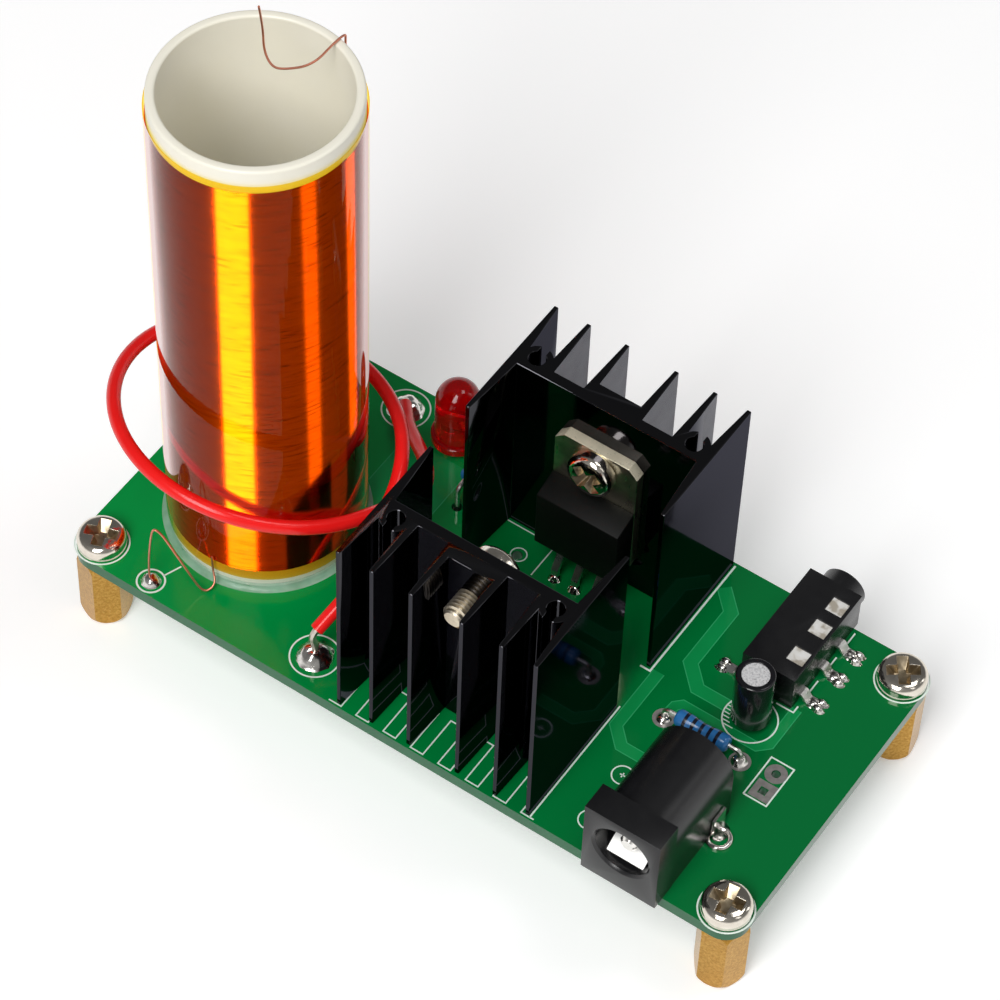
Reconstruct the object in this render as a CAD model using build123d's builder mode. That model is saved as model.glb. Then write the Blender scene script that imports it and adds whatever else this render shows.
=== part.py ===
"""Desktop resonant transformer: a secondary coil on a white former, a one-turn primary,
two heat-sinked driver transistors, a power socket and an audio socket on one circuit board.

Millimetres. The origin is the centre of the four standoff feet on the plane they stand on,
+X runs along the board towards the sockets, +Y towards the audio plug's side and +Z up.
"""
from build123d import *
from math import cos, radians, sin, sqrt, tan
import os

# ------------------------------------------------------------------ driving dimensions
# board and its legs
board_length = 85.0
board_width = 40.0
board_thickness = 1.6
board_corner_radius = 2.75
leg_inset = 2.75
leg_screw_hole = 3.2
leg_height = 10.0
leg_across_flats = 5.0
leg_chamfer = 0.3
leg_thread_bore = 2.5
leg_screw_reach = 4.4
leg_screw_shank = 2.9
screw_head_diameter = 5.5
screw_head_height = 2.2
screw_crown = 0.9
screw_recess_width = 0.9
screw_recess_span = 3.3
screw_recess_depth = 1.4
screw_recess_taper = 12.0

# secondary coil
coil_x = -28.05
coil_y = -3.16
former_diameter = 21.3
former_wall = 1.0
former_height = 66.3
winding_thickness = 0.15
tape_thickness = 0.12
tape_bottom = 1.75
tape_top = 64.5
tape_margin = 1.05

# one-turn primary of insulated wire
primary_wire_diameter = 1.55
primary_core_diameter = 0.8
primary_gap_first = 5.2
primary_gap_last = 3.0
primary_mean_height = 16.3
primary_tilt_rise = 4.8
primary_high_side = -112.0
primary_first_angle = -10.0
primary_quarter_turns = 3
primary_overrun = 0.6
primary_climb_angle = 36.0
primary_climb_gap = 5.8
primary_climb_height = 6.6
primary_back_pad_x = -23.74
primary_back_pad_inset = 3.34
primary_front_pad_x = -12.42
primary_front_pad_inset = 3.93
primary_back_end = (0.45, -0.9, 2.1)
primary_front_end = (0.1, 0.25, 4.6)
primary_back_way = (0.62, -0.74, 0.26)
primary_front_way = (-0.25, -0.78, -0.57)
primary_bare_height = 1.3

# fine leads of the secondary
fine_wire_diameter = 0.24
wire_rest_gap = 0.08
fine_bend = 0.4
breakout_angle = 75.0
breakout_tail = 3.0
breakout_dip_rise = 1.7
breakout_height = 10.2
ground_pad_from_left = 10.1
ground_pad_from_front = 1.7
ground_angle = -85.5
ground_tail = 1.2
ground_drop = 1.9
ground_stations = [
    (6.1, 3.1, 0.9), (5.6, 2.0, 0.4), (4.0, 1.5, 3.0), (1.7, 0.5, 8.6), (0.75, 0.2, 9.4),
    (-0.2, 0.2, 4.2), (-0.3, 0.1, 1.0), (0.0, 0.0, 0.3),
]

# heat sinks: one extrusion used twice, its fins to the outside
sink_centre_x = 5.05
sink_edge_inset = 0.43
sink_width = 24.3
sink_height = 26.6
wing_depth = 7.7
web_thickness = 1.3
web_block_thickness = 2.7
fin_depth = 7.4
fin_root = 1.15
fin_tip = 0.5
inner_fin_offset = 3.05
outer_fin_offset = 7.8
channel_offset = 9.65
channel_outer_radius = 1.7
channel_inner_radius = 0.95
channel_mouth = 1.0
sink_pin_radius = 0.9
sink_pin_grip = 7.0
sink_screw_hole = 3.0
front_hole_height = 21.3
back_hole_height = 18.4

# power transistors
case_width = 10.2
case_height = 9.1
case_thickness = 4.4
case_slope = 1.0
tab_thickness = 1.3
tab_height = 6.7
tab_hole_diameter = 3.8
tab_hole_from_top = 2.8
tab_corner = 1.1
leg_pitch = 2.54
transistor_leg_width = 0.8
transistor_leg_thickness = 0.5
transistor_leg_inset = 2.6
transistor_leg_step = 1.2
shoulder_width = 1.3
shoulder_height = 1.7
leg_step_height = 2.2
tab_screw_shank = 2.8
tab_screw_length = 7.0

# power socket
power_from_right = 13.2
power_overhang = 1.46
power_width = 9.0
power_height = 11.0
power_flange = 3.3
power_length = 14.2
power_axis_height = 6.2
power_barrel_radius = 4.45
power_bore = 6.4
power_bore_depth = 10.0
power_bore_chamfer = 0.3
power_pin_diameter = 2.0
power_pin_recess = 1.2
power_stud_diameter = 1.4
power_leaf_width = 4.4
power_leaf_start = 1.9
power_leaf_height = 2.75
power_strip = 0.3
power_leg_width = 2.2
power_leg_hole = 2.6
power_sleeve_leg = 7.7
power_side_leg = 11.6
power_side_leg_height = 3.0

# audio socket
audio_from_right = 13.55
audio_overhang = 0.75
audio_width = 6.4
audio_length = 13.4
audio_height = 5.0
audio_axis_height = 2.5
audio_nose_offset = 0.25
audio_nose_diameter = 5.0
audio_nose_length = 1.75
audio_bore = 3.6
audio_bore_depth = 12.0
audio_window = 2.0
audio_window_depth = 0.3
audio_window_edge = 0.4
audio_window_rows = (2.7, 6.15, 10.4)
audio_leg_rows = (3.95, 7.35, 11.45)
audio_left_leg_row = 12.8
audio_leg_width = 1.2
audio_leg_thickness = 0.25
audio_leg_exit = 0.9
audio_leg_root = 0.8
audio_leg_knee = 0.35
audio_leg_bend = 0.3
audio_leg_reach = 2.8
audio_leg_foot = 1.9

# lamp
led_x = -16.75
led_from_back = 3.55
led_stand = 0.5
led_diameter = 5.0
led_flange_diameter = 5.8
led_flange_height = 1.0
led_side_height = 5.5
led_flat = 0.4
led_lead = 0.5
led_post_height = 3.3
led_post_width = 0.9
led_cup_width = 1.7
led_cup_height = 1.6
led_cup_flare = 6.0

# capacitor
capacitor_from_right = 13.13
capacitor_gap = 1.54
capacitor_stand = 0.9
capacitor_height = 7.4
capacitor_diameter = 4.0
capacitor_sleeve = 0.13
capacitor_rim = 0.5
capacitor_bung_height = 0.6
capacitor_groove = 0.25
capacitor_groove_height = 1.3
capacitor_can_edge = 0.2
capacitor_lead_pitch = 2.0
capacitor_wire = 0.45

# resistors
resistor_length = 6.4
resistor_diameter = 2.3
resistor_waist = 1.95
resistor_cap = 1.5
resistor_round = 0.3
resistor_lead = 0.56
resistor_bend = 0.8
front_resistor_from_right = 20.6
front_resistor_gap = 5.08
front_resistor_span = 9.4
front_resistor_height = 1.75
rear_resistor_x = -11.45
rear_resistor_from_back = 1.6
rear_resistor_span = 9.6
rear_resistor_height = 3.3

# solder, holes and clearances
lead_hole = 1.2
lead_reach = 1.3
joint_diameter = 1.9
wide_joint_diameter = 3.4
joint_height = 1.0
joint_taper = 22.0
pad_joint_diameter = 4.2
pad_joint_height = 1.3
ground_joint_diameter = 2.4
ground_joint_height = 0.8
header_from_right = 7.27
header_y = -1.81
header_pitch = 2.54
header_hole = 1.0
spare_hole = (-2.5, 7.2)
pin_clearance = 0.05
thread_clearance = 0.05
part_clearance = 0.03

# faces around the wires, which are too fine to need a round section
fine_wire_sides = 6
lead_sides = 8
joint_sides = 10
primary_sides = 12

# ------------------------------------------------------------------ places that pieces share
board_bottom = leg_height
board_top = leg_height + board_thickness
lead_end = board_bottom - lead_reach
former_radius = former_diameter / 2
winding_radius = former_radius + winding_thickness
tape_radius = winding_radius + tape_thickness
board_right = board_length / 2
board_back = board_width / 2
leg_spacing_x = board_length - 2 * leg_inset
leg_spacing_y = board_width - 2 * leg_inset
web_face = board_back - sink_edge_inset - fin_depth - web_thickness
back_seat = Plane(origin=(sink_centre_x, web_face, board_top), x_dir=(1, 0, 0), z_dir=(0, 0, 1))
front_seat = Plane(origin=(sink_centre_x, -web_face, board_top), x_dir=(-1, 0, 0), z_dir=(0, 0, 1))
seats = {"front": (front_seat, front_hole_height), "back": (back_seat, back_hole_height)}
channel_outward = web_thickness + channel_inner_radius / 2
os.makedirs("parts", exist_ok=True)


def save(piece, name):
    """Label a finished piece and write it as its own file."""
    piece.part.label = name
    export_step(piece.part, "parts/" + name + ".step")


def on_board(x, y, height=0.0):
    """A point over the board's plan, by its height above the board's top face."""
    return Vector(x, y, board_top + height)


def plan(points):
    """Where points lie in the board's plan."""
    return [(point.X, point.Y) for point in points]


transistor_leads = [
    seat.from_local_coords((across, -transistor_leg_inset - transistor_leg_step, 0))
    for seat, _ in seats.values()
    for across in (-leg_pitch, 0, leg_pitch)
]
sink_pin_places = [
    seat.from_local_coords((side * channel_offset, channel_outward, 0))
    for seat, _ in seats.values()
    for side in (-1, 1)
]
led_y = board_back - led_from_back
audio_x = board_right - audio_from_right
audio_end_y = board_back + audio_overhang
capacitor_x = board_right - capacitor_from_right
capacitor_y = audio_end_y - audio_length - capacitor_gap - capacitor_diameter / 2 - capacitor_sleeve
front_resistor = (board_right - front_resistor_from_right, capacitor_y - front_resistor_gap)
rear_resistor = (rear_resistor_x, board_back - rear_resistor_from_back - rear_resistor_span)
primary_back_pad = (primary_back_pad_x, board_back - primary_back_pad_inset)
primary_front_pad = (primary_front_pad_x, primary_front_pad_inset - board_back)
ground_pad = (ground_pad_from_left - board_right, ground_pad_from_front - board_back)
led_leads = [on_board(led_x + side * leg_pitch / 2, led_y) for side in (-1, 1)]
capacitor_leads = [
    on_board(capacitor_x + side * capacitor_lead_pitch / 2, capacitor_y) for side in (-1, 1)
]
front_resistor_leads = [on_board(front_resistor[0] + run, front_resistor[1])
                        for run in (0, front_resistor_span)]
rear_resistor_leads = [on_board(rear_resistor[0], rear_resistor[1] + run)
                       for run in (0, rear_resistor_span)]
wire_pads = [on_board(*primary_back_pad), on_board(*primary_front_pad), on_board(*ground_pad)]
round_holes = (transistor_leads + led_leads + capacitor_leads + front_resistor_leads
               + rear_resistor_leads + wire_pads)
power_x = board_right - power_from_right
power_front_y = -board_back - power_overhang
power_back_y = power_front_y + power_length
side_leg_x = power_x + power_width / 2 + part_clearance + power_strip / 2
power_legs = [
    on_board(power_x, power_back_y + power_strip / 2),
    on_board(power_x, power_front_y + power_sleeve_leg),
    on_board(side_leg_x, power_front_y + power_side_leg),
]
header_holes = [(board_right - header_from_right, header_y + side * header_pitch / 2)
                for side in (-1, 1)]

# ------------------------------------------------------------------ circuit board
with BuildPart() as circuit_board:
    with BuildSketch(Plane.XY.offset(board_bottom)):
        RectangleRounded(board_length, board_width, board_corner_radius)
        with GridLocations(leg_spacing_x, leg_spacing_y, 2, 2):
            Circle(leg_screw_hole / 2, mode=Mode.SUBTRACT)
        with Locations(*plan(round_holes), spare_hole):
            Circle(lead_hole / 2, mode=Mode.SUBTRACT)
        with Locations(*header_holes):
            Circle(header_hole / 2, mode=Mode.SUBTRACT)
        with Locations(*plan(sink_pin_places)):
            Circle(sink_pin_radius + pin_clearance, mode=Mode.SUBTRACT)
        with Locations(*plan(power_legs)):
            Circle(power_leg_hole / 2, mode=Mode.SUBTRACT)
    extrude(amount=board_thickness)
save(circuit_board, "circuit_board")

# ------------------------------------------------------------------ brass legs
with BuildPart() as hex_standoffs:
    with BuildSketch(Plane.XY):
        with GridLocations(leg_spacing_x, leg_spacing_y, 2, 2):
            RegularPolygon(leg_across_flats / 2, 6, major_radius=False)
    extrude(amount=leg_height)
    chamfer(hex_standoffs.edges().filter_by(Axis.Z, reverse=True), leg_chamfer)
    with BuildSketch(Plane.XY):
        with GridLocations(leg_spacing_x, leg_spacing_y, 2, 2):
            Circle(leg_thread_bore / 2)
    extrude(amount=leg_height, mode=Mode.SUBTRACT)
    with BuildSketch(Plane.XY.offset(leg_height)):
        with GridLocations(leg_spacing_x, leg_spacing_y, 2, 2):
            Circle(leg_screw_shank / 2 + thread_clearance)
    extrude(amount=-leg_screw_reach - thread_clearance, mode=Mode.SUBTRACT)
save(hex_standoffs, "hex_standoffs")


# ------------------------------------------------------------------ cross-recess screws
def pan_head_screw(shank_diameter, reach):
    """A screw whose crowned head sits on z = 0, its shank below and a cross recess on top."""
    head = screw_head_diameter / 2
    shank = shank_diameter / 2
    shoulder = screw_head_height - screw_crown
    crown_radius = (head**2 + screw_crown**2) / (2 * screw_crown)
    with BuildPart() as screw:
        with BuildSketch(Plane.XZ):
            with BuildLine():
                Polyline((0, screw_head_height), (0, -reach), (shank, -reach), (shank, 0),
                         (head, 0), (head, shoulder))
                RadiusArc((head, shoulder), (0, screw_head_height), -crown_radius)
            make_face()
        revolve(axis=Axis.Z)
        with BuildSketch(Plane.XY.offset(screw_head_height)):
            Rectangle(screw_recess_span, screw_recess_width)
            Rectangle(screw_recess_width, screw_recess_span)
        extrude(amount=-screw_recess_depth, taper=screw_recess_taper, mode=Mode.SUBTRACT)
    return screw.part


board_screw = pan_head_screw(leg_screw_shank, board_thickness + leg_screw_reach)
with BuildPart() as board_screws:
    for x in (-leg_spacing_x / 2, leg_spacing_x / 2):
        for y in (-leg_spacing_y / 2, leg_spacing_y / 2):
            add(Pos(x, y, board_top) * board_screw)
save(board_screws, "board_screws")

# ------------------------------------------------------------------ secondary coil
coil_base = Plane(origin=(coil_x, coil_y, board_top))
winding_bottom = tape_bottom + tape_margin
winding_top = tape_top - tape_margin

with BuildPart() as coil_former:
    with BuildSketch(coil_base):
        Circle(former_radius)
        Circle(former_radius - former_wall, mode=Mode.SUBTRACT)
    extrude(amount=former_height)
save(coil_former, "coil_former")

with BuildPart() as secondary_winding:
    with BuildSketch(coil_base.offset(winding_bottom)):
        Circle(winding_radius)
        Circle(former_radius, mode=Mode.SUBTRACT)
    extrude(amount=winding_top - winding_bottom)
save(secondary_winding, "secondary_winding")

with BuildPart() as winding_tape:
    with BuildSketch(coil_base.offset(tape_bottom)):
        Circle(tape_radius)
        Circle(former_radius, mode=Mode.SUBTRACT)
    extrude(amount=tape_top - tape_bottom)
    with BuildSketch(coil_base.offset(winding_bottom)):
        Circle(winding_radius)
        Circle(former_radius, mode=Mode.SUBTRACT)
    extrude(amount=winding_top - winding_bottom, mode=Mode.SUBTRACT)
save(winding_tape, "winding_tape")


# ------------------------------------------------------------------ fine leads of the secondary
def about_coil(angle, radius, height):
    """A point about the coil's axis: angle in degrees, radius, height above the board."""
    turn = radians(angle)
    return on_board(coil_x + radius * cos(turn), coil_y + radius * sin(turn), height)


def bend_radii(route, largest):
    """A bend radius for each inner corner of a route, held inside the shorter of its two runs."""
    radii = []
    for before, corner, after in zip(route, route[1:], route[2:]):
        half_turn = radians((corner - before).get_angle(after - corner)) / 2
        shorter = min((corner - before).length, (after - corner).length)
        radii.append(min(largest, 0.45 * shorter / tan(half_turn)))
    return radii


def wire_along(route, diameter, largest_bend, sides):
    """A wire through the points of a route, rounded at its corners."""
    with BuildPart() as wire:
        with BuildLine():
            path = FilletPolyline(*route, radius=bend_radii(route, largest_bend))
        with BuildSketch(Plane(origin=path @ 0, z_dir=path % 0)):
            RegularPolygon(diameter / 2, sides)
        sweep(path=path)
    return wire.part


fine_skin = tape_radius + fine_wire_diameter / 2 + wire_rest_gap
over_rim = former_height + fine_wire_diameter / 2 + wire_rest_gap
breakout_route = [
    about_coil(breakout_angle, fine_skin, winding_top - breakout_tail),
    about_coil(breakout_angle, fine_skin, over_rim),
    about_coil(64, 0.58 * former_radius, over_rim),
    about_coil(85, 0.27 * former_radius, over_rim),
    about_coil(113, 0.33 * former_radius, over_rim + breakout_dip_rise),
    about_coil(113, 0.33 * former_radius, former_height + breakout_height),
]
with BuildPart() as breakout_wire:
    add(wire_along(breakout_route, fine_wire_diameter, fine_bend, fine_wire_sides))
save(breakout_wire, "breakout_wire")

ground_route = [
    about_coil(ground_angle, fine_skin, winding_bottom + ground_tail),
    about_coil(ground_angle, fine_skin, ground_drop),
    *[on_board(*ground_pad) + Vector(*station) for station in ground_stations],
    on_board(*ground_pad, -board_thickness - lead_reach),
]
with BuildPart() as ground_lead:
    add(wire_along(ground_route, fine_wire_diameter, fine_bend, fine_wire_sides))
save(ground_lead, "ground_lead")


# ------------------------------------------------------------------ one-turn primary
def turn_radius(step):
    """The loop's radius after so many quarter turns, drawn in steadily to pass inside its start."""
    gap = primary_gap_first + (primary_gap_last - primary_gap_first) * step / primary_quarter_turns
    return tape_radius + gap + primary_wire_diameter / 2


def turn_point(step):
    """A point of the loop's centre line: a round turn on a slant, wound clockwise from above."""
    angle = primary_first_angle - 90 * step
    lift = primary_tilt_rise * cos(radians(angle - primary_high_side))
    return about_coil(angle, turn_radius(step), primary_mean_height + lift)


def turn_way(step):
    """The loop's direction there."""
    nudge = 0.01
    return (turn_point(step + nudge) - turn_point(step - nudge)).normalized()


def biarc(start, start_way, end, end_way):
    """Two arcs that meet smoothly, from one point and direction to another."""
    chord = end - start
    ways = start_way + end_way
    spread = 2 * (1 - start_way.dot(end_way))
    lean = chord.dot(ways)
    reach = (sqrt(lean**2 + spread * chord.dot(chord)) - lean) / spread
    first_corner = start + start_way * reach
    second_corner = end - end_way * reach
    middle = (first_corner + second_corner) * 0.5
    return [TangentArc(start, middle, tangent=start_way),
            TangentArc(middle, end, tangent=second_corner - first_corner)]


back_end = on_board(*primary_back_pad) + Vector(*primary_back_end)
back_way = Vector(*primary_back_way).normalized()
front_end = on_board(*primary_front_pad) + Vector(*primary_front_end)
front_way = Vector(*primary_front_way).normalized()
climb_radius = tape_radius + primary_climb_gap + primary_wire_diameter / 2
climb = about_coil(primary_climb_angle, climb_radius, primary_climb_height)
steps = [*range(primary_quarter_turns + 1), primary_quarter_turns + primary_overrun]
stations = [(back_end + back_way * primary_wire_diameter, back_way),
            (climb, (turn_point(0) - back_end).normalized())]
stations += [(turn_point(step), turn_way(step)) for step in steps]
stations += [(front_end - front_way * primary_wire_diameter, front_way)]
with BuildPart() as primary_wire:
    with BuildLine() as primary_path:
        Line(back_end, stations[0][0])
        for (start, start_way), (end, end_way) in zip(stations, stations[1:]):
            biarc(start, start_way, end, end_way)
        Line(stations[-1][0], front_end)
    with BuildSketch(Plane(origin=back_end, z_dir=back_way)):
        RegularPolygon(primary_wire_diameter / 2, primary_sides)
    sweep(path=primary_path.wires()[0])
save(primary_wire, "primary_wire")

sample_count = 600
turn_samples = 60
samples = [primary_path.wires()[0].position_at(step / sample_count)
           for step in range(sample_count + 1)]
least_gap = min((one - other).length
                for index, one in enumerate(samples)
                for other in samples[index + turn_samples:]) - primary_wire_diameter
print("primary wire least gap to itself", round(least_gap, 2))


def bare_end(pad, end, way):
    """The bare core at one end of the primary: out of the insulation and down through the board."""
    entry = pad + Vector(0, 0, primary_bare_height)
    down = Vector(0, 0, -1)
    with BuildPart() as core:
        with BuildLine() as path:
            biarc(end, way, entry, down)
            Line(entry, Vector(pad.X, pad.Y, lead_end))
        with BuildSketch(Plane(origin=end, z_dir=way)):
            RegularPolygon(primary_core_diameter / 2, lead_sides)
        sweep(path=path.wires()[0])
    return core.part


with BuildPart() as primary_core_ends:
    add(bare_end(wire_pads[0], back_end, back_way * -1))
    add(bare_end(wire_pads[1], front_end, front_way))
save(primary_core_ends, "primary_core_ends")


# ------------------------------------------------------------------ heat sinks
def heat_sink(seat, hole_height):
    """One length of finned extrusion: plain web, side wings, six fins and two pin channels."""
    tip = web_thickness + fin_depth
    outer = sink_width / 2
    with BuildPart() as sink:
        with BuildSketch(seat):
            with Locations((0, web_thickness / 2)):
                Rectangle(sink_width, web_thickness)
            with Locations((0, web_block_thickness / 2)):
                Rectangle(2 * inner_fin_offset, web_block_thickness)
            for side in (-1, 1):
                with BuildLine():
                    Polyline((side * outer, -wing_depth), (side * outer, tip),
                             (side * (outer - fin_tip), tip),
                             (side * (outer - fin_root), web_thickness),
                             (side * (outer - fin_root), 0),
                             (side * (outer - fin_tip), -wing_depth), close=True)
                make_face()
                for offset in (inner_fin_offset, outer_fin_offset):
                    middle = side * offset
                    with BuildLine():
                        Polyline((middle - fin_root / 2, web_thickness / 2),
                                 (middle + fin_root / 2, web_thickness / 2),
                                 (middle + fin_tip / 2, tip), (middle - fin_tip / 2, tip),
                                 close=True)
                    make_face()
                with Locations((side * channel_offset, channel_outward)):
                    Circle(channel_outer_radius)
                    Circle(channel_inner_radius, mode=Mode.SUBTRACT)
                with Locations((side * channel_offset, channel_outward + channel_outer_radius)):
                    Rectangle(channel_mouth, 2 * channel_outer_radius, mode=Mode.SUBTRACT)
        extrude(amount=sink_height)
        with BuildSketch(Plane(origin=seat.from_local_coords((0, 0, hole_height)),
                               x_dir=seat.x_dir, z_dir=seat.y_dir)):
            Circle(sink_screw_hole / 2)
        extrude(amount=web_block_thickness, mode=Mode.SUBTRACT)
    return sink


for place, (seat, hole_height) in seats.items():
    save(heat_sink(seat, hole_height), "heat_sink_" + place)

with BuildPart() as heat_sink_pins:
    with BuildSketch(Plane.XY.offset(lead_end)):
        with Locations(*plan(sink_pin_places)):
            Circle(sink_pin_radius)
    extrude(amount=board_top + sink_pin_grip - lead_end)
save(heat_sink_pins, "heat_sink_pins")

# ------------------------------------------------------------------ power transistors
tab_screw = pan_head_screw(tab_screw_shank, tab_screw_length)
transistor_legs = []
for place, (seat, hole_height) in seats.items():
    tab_top = hole_height + tab_hole_from_top
    case_top = tab_top - tab_height
    case_bottom = case_top - case_height
    side_view = Plane(origin=seat.origin, x_dir=seat.y_dir, z_dir=seat.x_dir)
    face_view = Plane(origin=seat.origin, x_dir=seat.x_dir, z_dir=seat.y_dir * -1)

    with BuildPart() as transistor_case:
        with BuildSketch(side_view):
            with BuildLine():
                Polyline((-tab_thickness, case_bottom), (-case_thickness, case_bottom),
                         (-case_thickness, case_top - case_slope), (-tab_thickness, case_top),
                         close=True)
            make_face()
        extrude(amount=case_width / 2, both=True)
    save(transistor_case, "transistor_case_" + place)

    with BuildPart() as transistor_tab:
        with BuildSketch(face_view):
            with BuildLine():
                side = case_width / 2
                Polyline((-side, case_bottom), (side, case_bottom), (side, tab_top - tab_corner),
                         (side - tab_corner, tab_top), (tab_corner - side, tab_top),
                         (-side, tab_top - tab_corner), close=True)
            make_face()
            with Locations((0, hole_height)):
                Circle(tab_hole_diameter / 2, mode=Mode.SUBTRACT)
        extrude(amount=tab_thickness)
    save(transistor_tab, "transistor_tab_" + place)

    bend_top = case_bottom - shoulder_height
    with BuildPart() as legs:
        for across in (-leg_pitch, 0, leg_pitch):
            with BuildSketch(side_view.offset(across)):
                with BuildLine():
                    Polyline((-transistor_leg_inset, case_bottom),
                             (-transistor_leg_inset, bend_top),
                             (-transistor_leg_inset - transistor_leg_step,
                              bend_top - leg_step_height),
                             (-transistor_leg_inset - transistor_leg_step,
                              -board_thickness - lead_reach))
                trace(line_width=transistor_leg_thickness)
            extrude(amount=transistor_leg_width / 2, both=True)
            with BuildSketch(side_view.offset(across)):
                with Locations((-transistor_leg_inset, case_bottom - shoulder_height / 2)):
                    Rectangle(transistor_leg_thickness, shoulder_height)
            extrude(amount=shoulder_width / 2, both=True)
    save(legs, "transistor_legs_" + place)
    transistor_legs.append(legs)

with BuildPart() as transistor_screws:
    for seat, hole_height in seats.values():
        under_head = seat.from_local_coords((0, -tab_thickness, hole_height))
        axis = Plane(origin=under_head, x_dir=seat.x_dir, z_dir=seat.y_dir * -1)
        add(axis.location * tab_screw)
save(transistor_screws, "transistor_screws")

# ------------------------------------------------------------------ power socket
power_face = Plane(origin=(power_x, power_front_y, board_top), x_dir=(1, 0, 0), z_dir=(0, -1, 0))
power_leaf_length = power_bore_depth - power_leaf_start

with BuildPart() as power_socket_pin:
    with BuildSketch(power_face.offset(-power_pin_recess)):
        with Locations((0, power_axis_height)):
            Circle(power_pin_diameter / 2)
    extrude(amount=power_pin_recess - power_bore_depth)
    chamfer(power_socket_pin.faces().sort_by(Axis.Y)[0].edges(), power_pin_diameter / 6)
    with BuildSketch(power_face.offset(-power_bore_depth)):
        with Locations((0, power_axis_height)):
            Circle(power_stud_diameter / 2)
    extrude(amount=power_bore_depth - power_length)
    with BuildSketch(power_face.offset(-power_length)):
        strip_top = power_axis_height + power_pin_diameter
        strip_bottom = -board_thickness - lead_reach
        with Locations((0, (strip_top + strip_bottom) / 2)):
            Rectangle(power_leg_width, strip_top - strip_bottom)
    extrude(amount=-power_strip)
save(power_socket_pin, "power_socket_pin")

with BuildPart() as power_socket_contacts:
    side_view = Plane(origin=power_face.origin, x_dir=(0, 1, 0), z_dir=(1, 0, 0))
    with BuildSketch(side_view):
        with Locations((power_leaf_start, power_leaf_height)):
            Rectangle(power_leaf_length, power_strip, align=Align.MIN)
    extrude(amount=power_leaf_width / 2, both=True)
    with BuildSketch(side_view):
        with Locations((power_sleeve_leg - power_strip / 2, power_leaf_height)):
            Rectangle(power_strip, power_leaf_height + board_thickness + lead_reach,
                      align=(Align.MIN, Align.MAX))
    extrude(amount=power_leg_width / 2, both=True)
    side_leg_view = Plane(origin=(side_leg_x, power_front_y + power_side_leg, board_top),
                          x_dir=(0, 1, 0), z_dir=(1, 0, 0))
    with BuildSketch(side_leg_view):
        leg_bottom = -board_thickness - lead_reach
        with Locations((0, (power_side_leg_height + leg_bottom) / 2)):
            Rectangle(power_leg_width, power_side_leg_height - leg_bottom)
    extrude(amount=power_strip / 2, both=True)
save(power_socket_contacts, "power_socket_contacts")

with BuildPart() as power_socket_housing:
    with BuildSketch(power_face):
        with Locations((0, power_height / 2)):
            Rectangle(power_width, power_height)
    extrude(amount=-power_flange)
    with BuildSketch(power_face.offset(-power_flange)):
        with Locations((0, power_axis_height / 2)):
            Rectangle(2 * power_barrel_radius, power_axis_height)
        with Locations((0, power_axis_height)):
            Circle(power_barrel_radius)
    extrude(amount=power_flange - power_length)
    with BuildSketch(power_face):
        with Locations((0, power_axis_height)):
            Circle(power_bore / 2)
    extrude(amount=-power_bore_depth, mode=Mode.SUBTRACT)
    mouth = power_socket_housing.edges().filter_by(GeomType.CIRCLE).sort_by(Axis.Y)[0]
    chamfer(mouth, power_bore_chamfer)
    with BuildSketch(power_face.offset(-power_bore_depth)):
        with Locations((0, power_axis_height)):
            Circle(power_stud_diameter / 2)
    extrude(amount=power_bore_depth - power_length, mode=Mode.SUBTRACT)
    with BuildSketch(power_face.offset(-power_leaf_start + part_clearance)):
        with Locations((0, power_leaf_height - part_clearance)):
            Rectangle(power_leaf_width + 2 * part_clearance, power_bore / 4,
                      align=(Align.CENTER, Align.MIN))
    extrude(amount=-power_leaf_length - part_clearance, mode=Mode.SUBTRACT)
    with BuildSketch(Plane(origin=on_board(power_x, power_front_y + power_sleeve_leg))):
        Rectangle(power_leg_width + 2 * part_clearance, power_strip + 2 * part_clearance)
    extrude(amount=power_leaf_height, mode=Mode.SUBTRACT)
save(power_socket_housing, "power_socket_housing")

# ------------------------------------------------------------------ audio socket
audio_face = Plane(origin=(audio_x, audio_end_y, board_top), x_dir=(-1, 0, 0), z_dir=(0, 1, 0))
audio_right = audio_x + audio_width / 2
audio_left = audio_x - audio_width / 2
window_x = audio_right - audio_window_edge - audio_window / 2
window_places = [(window_x, audio_end_y - row) for row in audio_window_rows]

with BuildPart() as audio_socket_housing:
    with BuildSketch(audio_face):
        with Locations((0, audio_height / 2)):
            Rectangle(audio_width, audio_height)
    extrude(amount=-audio_length)
    with BuildSketch(audio_face):
        with Locations((-audio_nose_offset, audio_axis_height)):
            Circle(audio_nose_diameter / 2)
    extrude(amount=audio_nose_length)
    with BuildSketch(audio_face.offset(audio_nose_length)):
        with Locations((-audio_nose_offset, audio_axis_height)):
            Circle(audio_bore / 2)
    extrude(amount=-audio_bore_depth, mode=Mode.SUBTRACT)
    with BuildSketch(Plane.XY.offset(board_top + audio_height)):
        with Locations(*window_places):
            Rectangle(audio_window, audio_window)
    extrude(amount=-audio_window_depth, mode=Mode.SUBTRACT)
    with BuildSketch(Plane.XY.offset(board_top)):
        pocket = audio_leg_width + 2 * part_clearance
        with Locations(*[(audio_right, audio_end_y - row) for row in audio_leg_rows],
                       (audio_left, audio_end_y - audio_left_leg_row)):
            Rectangle(2 * audio_leg_root, pocket)
    extrude(amount=audio_leg_exit + audio_leg_thickness, mode=Mode.SUBTRACT)
save(audio_socket_housing, "audio_socket_housing")

with BuildPart() as audio_socket_contacts:
    with BuildSketch(Plane.XY.offset(board_top + audio_height - audio_window_depth)):
        with Locations(*window_places):
            Rectangle(audio_window - 2 * part_clearance, audio_window - 2 * part_clearance)
    extrude(amount=audio_window_depth / 2)
save(audio_socket_contacts, "audio_socket_contacts")

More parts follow.
